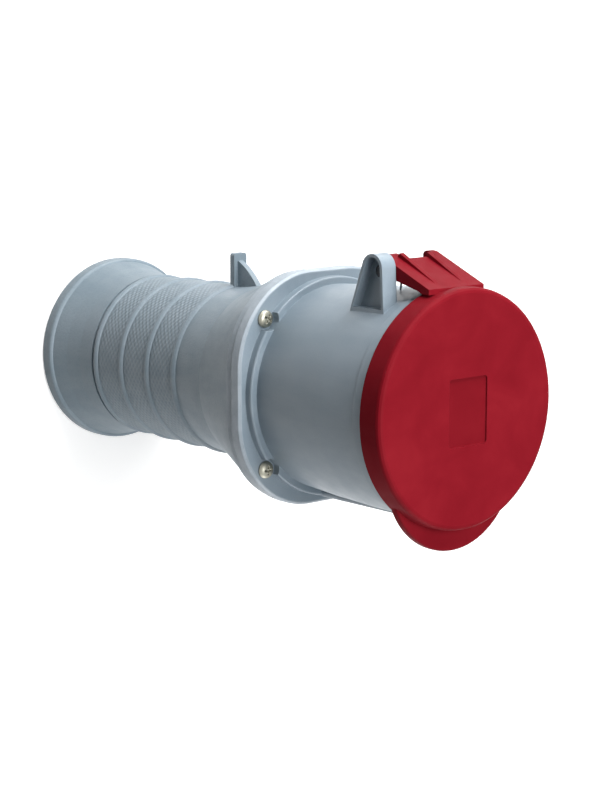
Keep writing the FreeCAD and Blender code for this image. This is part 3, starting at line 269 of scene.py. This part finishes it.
def flange_rim_light(tree, place, colour):
    """Painted light on the flange's edge: a paler band, broken up by noise.

    The flange is a square of half width 11 grown by 42.5, so its edge lies where the length of
    (max(|x| - 11, 0), max(|y| - 11, 0)) is 42.5 mm. The painted light grows from 40.8 to 41.8 mm,
    within 5.5 mm of the flange's middle height.
    """
    axes = add(tree, "ShaderNodeSeparateXYZ", {"Vector": place})
    squares = []
    for axis in ("X", "Y"):
        away = add(tree, "ShaderNodeMath", {0: axes.outputs[axis]}, operation="ABSOLUTE")
        past = add(tree, "ShaderNodeMath", {0: away.outputs["Value"], 1: FLANGE_FLAT / MM},
                   operation="SUBTRACT")
        held = add(tree, "ShaderNodeMath", {0: past.outputs["Value"], 1: 0.0},
                   operation="MAXIMUM")
        squares.append(add(tree, "ShaderNodeMath", {0: held.outputs["Value"], 1: 2.0},
                           operation="POWER"))
    total = add(tree, "ShaderNodeMath",
                {0: squares[0].outputs["Value"], 1: squares[1].outputs["Value"]},
                operation="ADD")
    grown = add(tree, "ShaderNodeMath", {0: total.outputs["Value"]}, operation="SQRT")
    edge = add(tree, "ShaderNodeMapRange",
               {"Value": grown.outputs["Value"], "From Min": RIM_LIGHT_START / MM,
                "From Max": RIM_LIGHT_FULL / MM})
    rim_light_noise = add(tree, "ShaderNodeTexNoise",
                {"Vector": place, "Scale": MM / RIM_LIGHT_PATCH, "Detail": 5.0, "Roughness": 0.65})
    broken = add(tree, "ShaderNodeMapRange",
                 {"Value": rim_light_noise.outputs["Fac"], "From Min": 0.35, "From Max": 0.60,
                  "To Min": 0.45, "To Max": 0.80})
    shift = add(tree, "ShaderNodeMath", {0: axes.outputs["Z"], 1: FLANGE_MIDDLE / MM},
                operation="SUBTRACT")
    away = add(tree, "ShaderNodeMath", {0: shift.outputs["Value"]}, operation="ABSOLUTE")
    level = add(tree, "ShaderNodeMapRange",
                {"Value": away.outputs["Value"], "From Min": (RIM_LIGHT_REACH - RIM_LIGHT_FADE) / MM,
                 "From Max": RIM_LIGHT_REACH / MM, "To Min": 1.0, "To Max": 0.0})
    rim = add(tree, "ShaderNodeMath", {0: edge.outputs["Result"], 1: level.outputs["Result"]},
              operation="MULTIPLY")
    part = add(tree, "ShaderNodeMath", {0: rim.outputs["Value"], 1: broken.outputs["Result"]},
               operation="MULTIPLY")
    mixed = add(tree, "ShaderNodeMix", {"Factor": part.outputs["Value"], "A": colour},
                data_type="RGBA")
    mixed.inputs["B"].default_value = linear(RIM_LIGHT_COLOUR)
    return mixed.outputs["Result"]


# the rim mask paints a paler band of light on the flange's edge of both housings
barrel_polyamide = moulded("barrel_polyamide", ("#7C8B96", "#84929D", "#8D9AA4"),
                           roughness=0.42, gloss=0.45, grain_mm=0.6, depth_mm=0.05,
                           speckle=0.06, masks=(flange_rim_light,))
# the knurl mask paints shade into the grip's grooves
grip_polyamide = moulded("grip_polyamide", ("#768691", "#81909A", "#8B98A2"),
                         roughness=0.48, gloss=0.45, grain_mm=1.1, depth_mm=0.16,
                         speckle=0.10, masks=(flange_rim_light, knurl_groove_shade))
red_polyamide = moulded("red_polyamide", ("#72101B", "#78131E", "#7F1822"),
                        roughness=0.50, gloss=0.03, grain_mm=0.6, depth_mm=0.05,
                        masks=(sunk_panel,))
black_polyamide = moulded("black_polyamide", ("#1F2124", "#26282B", "#2E3033"),
                          roughness=0.5, gloss=0.4, grain_mm=0.5, depth_mm=0.05)
print("moulded plastics:", barrel_polyamide.name, grip_polyamide.name, red_polyamide.name)

# %% [markdown]
# ## Rubber, brass and steel
#
# The seals are EPDM rubber, almost black and dull, with a dusting of talc. The contacts are turned
# from brass, which leaves fine rings round each of them. The housing screws are steel with a
# passivated zinc coat, greyish with a hint of yellow, and those inside are brighter. The pin is
# blacked steel, and the spring is bright stainless wire.

# %% Rubber
TALC, RUBBER_GRAIN, RUBBER_RELIEF = 9.0, 0.4, 0.04      # millimetres: patches, grain and its depth


def rubber(name, colour, dusty):
    """Dull elastomer with a pale dusting in patches."""
    material, tree, output = new_material(name)
    place = add(tree, "ShaderNodeTexCoord").outputs["Object"]
    patch = add(tree, "ShaderNodeTexNoise",
                {"Vector": place, "Scale": MM / TALC, "Detail": 6.0, "Roughness": 0.7})
    share = add(tree, "ShaderNodeMapRange",
                {"Value": patch.outputs["Fac"], "From Min": 0.45, "From Max": 0.75,
                 "To Min": 0.0, "To Max": 0.5})
    tone = add(tree, "ShaderNodeMix", {"Factor": share.outputs["Result"]}, data_type="RGBA")
    tone.inputs["A"].default_value = linear(colour)
    tone.inputs["B"].default_value = linear(dusty)
    grain = add(tree, "ShaderNodeTexNoise",
                {"Vector": place, "Scale": MM / RUBBER_GRAIN, "Detail": 2.0})
    relief = add(tree, "ShaderNodeBump",
                 {"Height": grain.outputs["Fac"], "Strength": 0.5,
                  "Distance": RUBBER_RELIEF / MM})
    shader = add(tree, "ShaderNodeBsdfPrincipled",
                 {"Roughness": 0.75, "IOR": 1.5, "Normal": relief.outputs["Normal"]})
    tree.links.new(tone.outputs["Result"], shader.inputs["Base Color"])
    tree.links.new(shader.outputs["BSDF"], output.inputs["Surface"])
    return material


sealing_rubber = rubber("sealing_rubber", "#1B1C1E", "#34363A")

# %% Turned and plated metal
TINT_PATCH = 3.0        # millimetres
WAVE_RADIANS = 20.0     # a wave texture turns by 20 radians over one unit of its scaled place


def turned_metal(name, colour, tint, roughness, ridge_mm, depth_mm):
    """Bright metal with slow changes of tint and turning ridges along Z.

    A ridge and the groove beside it are ridge_mm wide each: the wave is sin(pi z / ridge_mm).
    """
    material, tree, output = new_material(name)
    place = add(tree, "ShaderNodeTexCoord").outputs["Object"]
    cloud = add(tree, "ShaderNodeTexNoise",
                {"Vector": place, "Scale": MM / TINT_PATCH, "Detail": 3.0})
    tone = add(tree, "ShaderNodeMix", {"Factor": cloud.outputs["Fac"]}, data_type="RGBA")
    tone.inputs["A"].default_value = linear(colour)
    tone.inputs["B"].default_value = linear(tint)
    rings = add(tree, "ShaderNodeTexWave",
                {"Vector": place, "Scale": MM / ridge_mm / WAVE_RADIANS * math.pi,
                 "Distortion": 0.3, "Detail": 2.0}, bands_direction="Z")
    relief = add(tree, "ShaderNodeBump",
                 {"Height": rings.outputs["Fac"], "Strength": 0.5, "Distance": depth_mm / MM})
    skin = add(tree, "ShaderNodeMapRange",
               {"Value": cloud.outputs["Fac"], "From Min": 0.3, "From Max": 0.7,
                "To Min": roughness - 0.06, "To Max": roughness + 0.08})
    shader = add(tree, "ShaderNodeBsdfPrincipled",
                 {"Metallic": 1.0, "Roughness": skin.outputs["Result"],
                  "Normal": relief.outputs["Normal"]})
    tree.links.new(tone.outputs["Result"], shader.inputs["Base Color"])
    tree.links.new(shader.outputs["BSDF"], output.inputs["Surface"])
    return material


turned_brass = turned_metal("turned_brass", "#D9B366", "#C79E52", 0.28, 0.4, 0.02)
plated_steel = turned_metal("plated_steel", "#B4B1A6", "#97968F", 0.34, 0.5, 0.01)
passivated_zinc = turned_metal("passivated_zinc", "#A3A193", "#85857B", 0.42, 0.5, 0.01)
blacked_steel = turned_metal("blacked_steel", "#3A3B3E", "#2B2C2F", 0.45, 0.5, 0.01)
spring_wire = turned_metal("spring_wire", "#B9BCC0", "#A6A9AE", 0.24, 0.6, 0.01)
print("metals:", turned_brass.name, plated_steel.name, passivated_zinc.name, spring_wire.name)

# %% [markdown]
# ## Each solid gets its finish
#
# A table says which finish each solid has. The solids keep the meshes that come from CAD, whose
# normals are already smooth along curved faces and sharp at true edges.

# %% Finishes of the solids
FINISHES = {
    barrel_polyamide: ["front_housing"],
    grip_polyamide: ["gland_nut", "rear_housing"],
    red_polyamide: ["lid"],
    black_polyamide: ["gland_thrust_ring", "contact_carrier", "carrier_base", "contact_retainer",
                      "cable_clamp_lower", "cable_clamp_upper"],
    sealing_rubber: ["gland_seal", "flange_gasket", "lid_gasket"],
    turned_brass: ["screw_inserts", "contact_earth", "contact_neutral", "contact_l1",
                   "contact_l2", "contact_l3", "contact_pilot"],
    plated_steel: ["housing_screws", "carrier_screws", "terminal_screws", "pilot_terminal_screw",
                   "cable_clamp_screws"],
    blacked_steel: ["hinge_pin", "pin_clip"],
    spring_wire: ["contact_spring_rings", "lid_spring"],
}
for finish, names in FINISHES.items():
    for name in names:
        solid = NODES[name]
        solid.data.materials.clear()
        solid.data.materials.append(finish)
bare = set(NODES) - {name for names in FINISHES.values() for name in names}
print("solids without a finish:", sorted(bare))

# %% [markdown]
# ## Surfaces from formulas
#
# The pieces below are surfaces on a grid of two parameters. One runs along an outline and the other
# round an axis. All points are worked out at once as one array, and a second array holds the
# corners of every face, so nothing loops over points. Where an outline starts or ends on the axis,
# its ring shrinks to one point, and triangles close it.

# %% Grids to meshes


def turned_points(radius, height, sides):
    """Points (r cos a, r sin a, z) for each outline point (r, z) and angle a = 2 pi j / sides."""
    angle = np.arange(sides) * 2 * np.pi / sides
    x = radius[:, None] * np.cos(angle)
    y = radius[:, None] * np.sin(angle)
    return np.stack([x, y, np.repeat(height[:, None], sides, 1)], -1)


def ring_faces(rows, sides, closed):
    """Quads between rings i and i + 1, columns joined round; closed joins the end rings too."""
    i, j = np.meshgrid(np.arange(rows if closed else rows - 1), np.arange(sides), indexing="ij")
    up, right = (i + 1) % rows, (j + 1) % sides
    quads = [i * sides + j, i * sides + right, up * sides + right, up * sides + j]
    return np.stack(quads, -1).reshape(-1, 4)


def piece_from_grids(name, grids, finish, body, closed):
    """One object from several grids of points in metres, each a row of rings; open ends get a fan.

    A piece with no body named here is left without one.
    """
    points, quads, fans, start = [], [], [], 0
    for grid in grids:
        rows, sides = grid.shape[:2]
        points.append(grid.reshape(-1, 3))
        quads.append(ring_faces(rows, sides, closed) + start)
        start += rows * sides
        if not closed:
            j = np.arange(sides)
            ends = np.stack([grid[0].mean(0), grid[-1].mean(0)])
            first, last = start - rows * sides, start - sides
            fans.append(np.stack([first + (j + 1) % sides, first + j, np.full(sides, start)], -1))
            fans.append(np.stack([last + j, last + (j + 1) % sides, np.full(sides, start + 1)], -1))
            points.append(ends)
            start += 2
    corners = np.concatenate([np.concatenate(quads).ravel()] + [f.ravel() for f in fans])
    quad_count, fan_count = sum(len(q) for q in quads), sum(len(f) for f in fans)
    starts = np.concatenate([np.arange(quad_count) * 4, quad_count * 4 + np.arange(fan_count) * 3])
    mesh = bpy.data.meshes.new(name)
    mesh.vertices.add(start)
    mesh.vertices.foreach_set("co", np.concatenate(points).astype(np.float32).ravel())
    mesh.loops.add(len(corners))
    mesh.loops.foreach_set("vertex_index", corners.astype(np.int32))
    mesh.polygons.add(len(starts))
    mesh.polygons.foreach_set("loop_start", starts.astype(np.int32))
    mesh.polygons.foreach_set("use_smooth", np.ones(len(starts), bool))
    mesh.update(calc_edges=True)
    mesh.validate()
    piece = bpy.data.objects.new(name, mesh)
    bpy.context.scene.collection.objects.link(piece)
    mesh.materials.append(finish)
    if body:
        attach(piece, body)
    return piece


# %% [markdown]
# ## Knurled bands of the grip
#
# Between its rings the grip has a fine diamond knurl, so that a wet hand can turn it. Cut in CAD it
# would be thousands of small notches. Here each band is a thin sleeve, seated in the grip's wall,
# whose outer radius is the grip's own plus two crossed helical waves. The grid has eight steps to a
# diamond each way, which keeps the crests round, and its columns end on whole diamonds, so that the
# seam closes.

# %% Knurled bands
GRIP_LOW, GRIP_HIGH, GRIP_LOW_R, GRIP_HIGH_R = 33.4, 100.0, 38.6, 39.6
RING_HALF, KNURL_RISE, SLEEVE_SINK = 1.9, 0.36, 0.5
KNURL_FADE, SLEEVE_SKIN = 0.8, 0.03     # run-out at both ends, and how far the grooves stand proud


def knurled_sleeve(low, high, steps=8):
    """Closed sleeve of radius G(z) + s + h f(z) (2 + cos(k z + n a) + cos(k z - n a)) / 4.

    G is the grip's cone, s the skin over it and h the rise of the crests. f grows from 0 to 1
    over the first and last 0.8 mm. The inner face lies below the grip's surface.
    """
    rows = int(round((high - low) / KNURL_PITCH * steps)) + 1
    z = np.linspace(low, high, rows)[:, None]
    a = (np.arange(KNURL_AROUND * steps) / (KNURL_AROUND * steps) * 2 * np.pi)[None, :]
    wave = 2 * np.pi / KNURL_PITCH * z
    relief = (2 + np.cos(wave + KNURL_AROUND * a) + np.cos(wave - KNURL_AROUND * a)) / 4
    fade = np.clip((z - low) / KNURL_FADE, 0, 1) * np.clip((high - z) / KNURL_FADE, 0, 1)
    wall = GRIP_LOW_R + (z - GRIP_LOW) / (GRIP_HIGH - GRIP_LOW) * (GRIP_HIGH_R - GRIP_LOW_R)
    radius = wall + SLEEVE_SKIN + KNURL_RISE * relief * fade
    outer = np.stack([radius * np.cos(a), radius * np.sin(a), z + 0 * a], -1)
    circle = np.stack([np.cos(a[0]), np.sin(a[0])])
    ends = np.stack([(wall[k] - SLEEVE_SINK) * circle for k in (-1, 0)])
    level = np.array([high, low])[:, None] + 0 * a
    inner = np.concatenate([np.moveaxis(ends, 1, -1), level[:, :, None]], -1)
    return np.concatenate([outer, inner]) / MM


ring_places = [RING_FIRST + k * RING_PITCH for k in range(RING_COUNT)]
sleeves = [knurled_sleeve(below + RING_HALF, above - RING_HALF)
           for below, above in zip(ring_places, ring_places[1:])]
knurl_bands = piece_from_grids("knurl_bands", sleeves, grip_polyamide, "housing",
                               True)
print("knurl:", len(knurl_bands.data.polygons), "faces in", RING_COUNT - 1, "bands")

# %% [markdown]
# ## Housing screws
#
# Four pan-head screws pull the two housings together. Their heads are cold-headed, so a domed head
# has a soft rim, and a punch leaves a recess of four wings that gets narrower as it goes down. A
# cut in CAD would give straight flat slots. Here the whole screw is one turned surface whose dome
# sinks by the recess's depth, and whose shank swells and shrinks along the thread.

# %% Housing screws
SCREW_CIRCLE, SCREW_ANGLE, SCREW_SEAT = 51.6, 41.0, 162.5
HEAD_R, HEAD_HIGH, SHANK_R, SHANK_LONG = 3.9, 2.8, 2.1, 12.0
SHANK_ROWS, TIP_ROWS, DOME_ROWS = 90, 6, 64
THREAD_DEPTH, THREAD_PITCH = 0.12, 0.7
HEAD_TAPER, DOME_START = 0.985, 1.05        # the head's side narrows by this, up to this height
RECESS_DEPTH, RECESS_SLOPE = 1.3, 0.32      # at the middle, and lost for each millimetre outwards
WING_INNER, WING_OUTER = 0.34, 0.52         # a wing's wall, measured from its own line
REACH_INNER, REACH_OUTER = 1.9, 2.2         # a wing's end, measured from the middle


def step(value, low, high):
    """Smooth step: t = (value - low) / (high - low) held in 0 to 1, then 3 t^2 - 2 t^3."""
    t = np.clip((value - low) / (high - low), 0, 1)
    return t * t * (3 - 2 * t)


def screw_grid(sides=96):
    """Screw about Z with its seat at z = 0, in millimetres.

    The shank's radius is R - d + d cos(2 pi z / pitch - a), with d the thread's depth, and its tip
    is a cone. The dome rises from its start e to the height h as e + (h - e) sqrt(1 - u^2.2), with
    u the share of the head's radius. The recess takes 1.3 - 0.32 r mm off it along both axes.
    """
    shank_z = np.linspace(-SHANK_LONG, -0.02, SHANK_ROWS)
    shank_r = np.full(SHANK_ROWS, SHANK_R)
    shank_r[:TIP_ROWS] = np.linspace(0.5, 1.0, TIP_ROWS) * SHANK_R
    rim = np.linspace(0, np.pi / 2, 7)
    rim_z = 0.12 + 0.5 * (1 - np.cos(rim))
    rim_r = HEAD_R - 0.25 * (1 - np.sin(rim))
    side_r = HEAD_R * np.linspace(1.0, HEAD_TAPER, 3)
    side_z = np.linspace(0.7, DOME_START, 3)
    dome_r = HEAD_R * HEAD_TAPER * np.linspace(1, 0.006, DOME_ROWS)
    share = dome_r / (HEAD_R * HEAD_TAPER)
    dome_z = DOME_START + (HEAD_HIGH - DOME_START) * np.sqrt(np.clip(1 - share ** 2.2, 0, 1))
    radius = np.concatenate([shank_r, [SHANK_R, HEAD_R - 0.3], rim_r, side_r, dome_r])
    height = np.concatenate([shank_z, [0.0, 0.0], rim_z, side_z, dome_z])
    grid = turned_points(radius, height, sides)
    angle = np.arange(sides) * 2 * np.pi / sides
    turns = 2 * np.pi * shank_z[:, None] / THREAD_PITCH
    wave = THREAD_DEPTH * np.cos(turns - angle) - THREAD_DEPTH
    grow = 1 + wave / SHANK_R * step(-shank_z[:, None], 0.3, 1.5)
    grid[:SHANK_ROWS, :, :2] *= grow[:, :, None]
    dome = grid[-DOME_ROWS:]
    x, y = np.abs(dome[:, :, 0]), np.abs(dome[:, :, 1])
    r = np.hypot(x, y)
    wing = 1 - step(np.minimum(x, y), WING_INNER, WING_OUTER)
    reach = 1 - step(r, REACH_INNER, REACH_OUTER)
    dome[:, :, 2] -= wing * reach * (RECESS_DEPTH - RECESS_SLOPE * r)
    return grid


def turned_about_z(grid, degrees):
    """Turns points about Z: x cos t - y sin t, x sin t + y cos t."""
    t = math.radians(degrees)
    turn = np.array([(math.cos(t), -math.sin(t), 0), (math.sin(t), math.cos(t), 0), (0, 0, 1)])
    return grid @ turn.T


RECESS_TURN, RECESS_STEP = 20, 37       # degrees: each screw stops at another angle
one_screw = screw_grid()
screw_angles = (SCREW_ANGLE, 180 - SCREW_ANGLE, 180 + SCREW_ANGLE, -SCREW_ANGLE)
screw_grids = []
for count, degrees in enumerate(screw_angles):
    seat = np.array([SCREW_CIRCLE * math.cos(math.radians(degrees)),
                     SCREW_CIRCLE * math.sin(math.radians(degrees)), SCREW_SEAT])
    turned = turned_about_z(one_screw, RECESS_TURN + RECESS_STEP * count)
    screw_grids.append((turned + seat) / MM)
headed_screws = piece_from_grids("headed_screws", screw_grids, passivated_zinc, "housing",
                                 False)
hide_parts("housing_screws")
print("screws:", len(screw_grids), "with", len(headed_screws.data.polygons), "faces")

# %% [markdown]
# ## Lid spring
#
# A torsion spring closes the lid. One leg rests on the barrel and the other in the lid's arm, so
# when the lid opens, its turns wind up one after the other. A rigid solid can't show that: its leg
# would cut through the arm. Here the wire is a tube carried along the spring's line, and the solid
# spring is hidden.

# %% Lid spring
PIN_Y, PIN_Z, WIRE_R, COIL_R, COIL_PITCH = 58.4, 219.0, 0.45, 2.35, 1.8
COIL_END_X, COIL_TURN, ARM_LEG = 2.6, math.radians(5 * 360 + 125), 9.0
COIL_START_X = COIL_END_X - COIL_PITCH * COIL_TURN / (2 * math.pi)


def spring_grid(lowest_y, sections=220, sides=14):
    """Wire on the helix x = x0 + p t / 2 pi, y = Y + R sin t, z = Z - R cos t, with straight legs.

    The frame across the wire is the helix's radius and the cross product of its direction with it;
    each leg keeps the frame of the helix's end, and its length comes from where it stops.
    """
    t = np.linspace(0, COIL_TURN, sections)
    rise = COIL_PITCH / (2 * math.pi)
    line = np.stack([COIL_START_X + rise * t, PIN_Y + COIL_R * np.sin(t),
                     PIN_Z - COIL_R * np.cos(t)], -1)
    along = np.stack([np.full(sections, rise), COIL_R * np.cos(t), COIL_R * np.sin(t)], -1)
    along /= np.linalg.norm(along, axis=1, keepdims=True)
    out = np.stack([np.zeros(sections), np.sin(t), -np.cos(t)], -1)
    first = line[0] - along[0] * (line[0, 1] - lowest_y) / along[0, 1]
    last = line[-1] + along[-1] * ARM_LEG
    line = np.concatenate([[first], line, [last]])
    along = np.concatenate([along[:1], along, along[-1:]])
    out = np.concatenate([out[:1], out, out[-1:]])
    side = np.cross(along, out)
    b = np.arange(sides) * 2 * np.pi / sides
    ring = out[:, None] * np.cos(b)[None, :, None] + side[:, None] * np.sin(b)[None, :, None]
    return line[:, None] + WIRE_R * ring


LEG_STOP = 0.05     # the lower leg ends this far above the low side of the solid spring's box
spring_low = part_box("lid_spring")[0]
wound_spring = piece_from_grids("wound_spring", [spring_grid(spring_low[1] * MM + LEG_STOP) / MM],
                                spring_wire, None, False)
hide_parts("lid_spring")
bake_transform(wound_spring)
print("spring from x =", round(COIL_START_X, 2), "to", COIL_END_X, "mm")

# %% [markdown]
# ## Small marks of the moulds
#
# The carrier's face has a low round bead about each contact hole, which keeps a finger off the
# hole's edge, and the lid's inside shows the thin rings that the ejector pins of its mould leave.
# Both are rings of round section, half sunk into the face: a circle carried round a circle.

# %% Rings on flat faces


def sunk_ring(x, y, z, ring_r, wire_r, sides=72, section=16):
    """Torus ((R + w cos b) cos a, (R + w cos b) sin a, w sin b), as rows of b and columns of a."""
    b = np.arange(section) * 2 * np.pi / section
    return (turned_points(ring_r + wire_r * np.cos(b), wire_r * np.sin(b), sides) + (x, y, z)) / MM


CARRIER_FACE, CONTACT_CIRCLE, LID_CEILING = 236.0, 20.0, 246.8
EARTH_HOLE_R, MAIN_HOLE_R, PILOT_HOLE_R = 5.6, 4.6, 3.6
BEAD_GAP, BEAD_R = 1.0, 0.45            # from a hole's edge to its bead's line, and its section
EJECTOR_R, EJECTOR_LINE, EJECTOR_PLACE = 3.0, 0.14, 22
main_places = [(CONTACT_CIRCLE * math.cos(math.radians(a)),
                CONTACT_CIRCLE * math.sin(math.radians(a))) for a in (-90, -18, 54, 126, 198)]
holes = [(*main_places[0], EARTH_HOLE_R)]
holes += [(x, y, MAIN_HOLE_R) for x, y in main_places[1:]]
holes += [(0.0, 0.0, PILOT_HOLE_R)]
beads = [sunk_ring(x, y, CARRIER_FACE, r + BEAD_GAP, BEAD_R) for x, y, r in holes]
hole_beads = piece_from_grids("hole_beads", beads, black_polyamide, "housing",
                              True)
corners = [(x, y) for x in (-EJECTOR_PLACE, EJECTOR_PLACE) for y in (-EJECTOR_PLACE, EJECTOR_PLACE)]
marks = [sunk_ring(x, y, LID_CEILING, EJECTOR_R, EJECTOR_LINE) for x, y in corners]
ejector_rings = piece_from_grids("ejector_rings", marks, red_polyamide, "lid",
                                 True)
print("rings:", hole_beads.name, ejector_rings.name)

# %% [markdown]
# ## Floor and light
#
# The coupler stands on a pale floor. The picture shows it lying on its side, so the light from
# above in the picture comes from the hinge side here: a large key lamp and a smaller one beside it.
# A broad fill hangs over the lid, and a weak lamp on the far side lifts the shadows. The camera,
# glossy surfaces see a white room, and the floor looks white to them but keeps the shadow. Light
# that bounces on to the coupler comes from a duller floor, so its sides stay dark enough.

# %% Floor
FLOOR_HALF = 6.0
GLOW_NEAR, GLOW_FAR, GLOW_START, GLOW_FULL = 0.40, 1.0, 0.35, 1.3   # strengths, and metres away


def floor_mesh(half):
    """Square at z = 0 from four corners, wound so that it faces up."""
    corners = np.array([(-1, -1, 0), (1, -1, 0), (1, 1, 0), (-1, 1, 0)], float) * half
    mesh = bpy.data.meshes.new("floor")
    mesh.from_pydata(corners.tolist(), [], [(0, 1, 2, 3)])
    return mesh


floor = bpy.data.objects.new("floor", floor_mesh(FLOOR_HALF))
bpy.context.scene.collection.objects.link(floor)
floor_paint, tree, output = new_material("floor_paint")
ray = add(tree, "ShaderNodeLightPath")
seen = add(tree, "ShaderNodeMath",
           {0: ray.outputs["Is Camera Ray"], 1: ray.outputs["Is Glossy Ray"]}, operation="MAXIMUM")
matt = add(tree, "ShaderNodeBsdfDiffuse", {"Color": linear("#F4F4F4")})
dull = add(tree, "ShaderNodeBsdfDiffuse", {"Color": linear("#545454")})
ground = add(tree, "ShaderNodeTexCoord").outputs["Object"]
away = add(tree, "ShaderNodeVectorMath", {0: ground}, operation="LENGTH")
far = add(tree, "ShaderNodeMapRange",
          {"Value": away.outputs["Value"], "From Min": GLOW_START, "From Max": GLOW_FULL,
           "To Min": GLOW_NEAR, "To Max": GLOW_FAR})
glow = add(tree, "ShaderNodeEmission", {"Color": (1, 1, 1, 1), "Strength": far.outputs["Result"]})
lift = add(tree, "ShaderNodeMixShader", {"Fac": seen.outputs["Value"], 1: dull.outputs["BSDF"]})
both = add(tree, "ShaderNodeAddShader", {0: matt.outputs["BSDF"], 1: glow.outputs["Emission"]})
tree.links.new(both.outputs["Shader"], lift.inputs[2])
tree.links.new(lift.outputs["Shader"], output.inputs["Surface"])
floor.data.materials.append(floor_paint)
print("floor", floor.name)

# %% World and lamps
ROOM_LIGHT, ROOM_SEEN = 0.05, 1.0       # strength of the world as a light, and as it is seen
world = bpy.data.worlds.new("studio")
bpy.context.scene.world = world
world.use_nodes = True
sky = world.node_tree
sky.nodes.clear()
sky_output = sky.nodes.new("ShaderNodeOutputWorld")
ray = add(sky, "ShaderNodeLightPath")
seen = add(sky, "ShaderNodeMath",
           {0: ray.outputs["Is Camera Ray"], 1: ray.outputs["Is Glossy Ray"]}, operation="MAXIMUM")
level = add(sky, "ShaderNodeMapRange",
            {"Value": seen.outputs["Value"], "To Min": ROOM_LIGHT, "To Max": ROOM_SEEN})
air = add(sky, "ShaderNodeBackground",
          {"Color": (1, 1, 1, 1), "Strength": level.outputs["Result"]})
sky.links.new(air.outputs["Background"], sky_output.inputs["Surface"])


def soft_lamp(name, place, target, size, watts):
    """Square area lamp that faces a target point."""
    lamp = bpy.data.lights.new(name, "AREA")
    lamp.shape = "SQUARE"
    lamp.size = size
    lamp.energy = watts
    holder = bpy.data.objects.new(name, lamp)
    gaze = Vector(target) - Vector(place)
    facing = gaze.to_track_quat("-Z", "Y").to_matrix().to_4x4()
    holder.matrix_world = Matrix.Translation(place) @ facing
    bpy.context.scene.collection.objects.link(holder)
    return holder


key = soft_lamp("key_lamp", (0.05, 1.15, 0.75), (0.0, 0.0, 0.13), 0.7, 16.0)
side = soft_lamp("side_lamp", (0.5, 1.0, 0.3), (0.0, 0.0, 0.14), 0.6, 7.0)
fill = soft_lamp("fill_lamp", (-0.10, 0.12, 1.35), (0.0, 0.0, 0.15), 0.9, 17.0)
low = soft_lamp("low_lamp", (0.0, -1.1, 0.35), (0.0, 0.0, 0.14), 0.7, 6.0)
print("lamps:", key.name, side.name, fill.name, low.name)
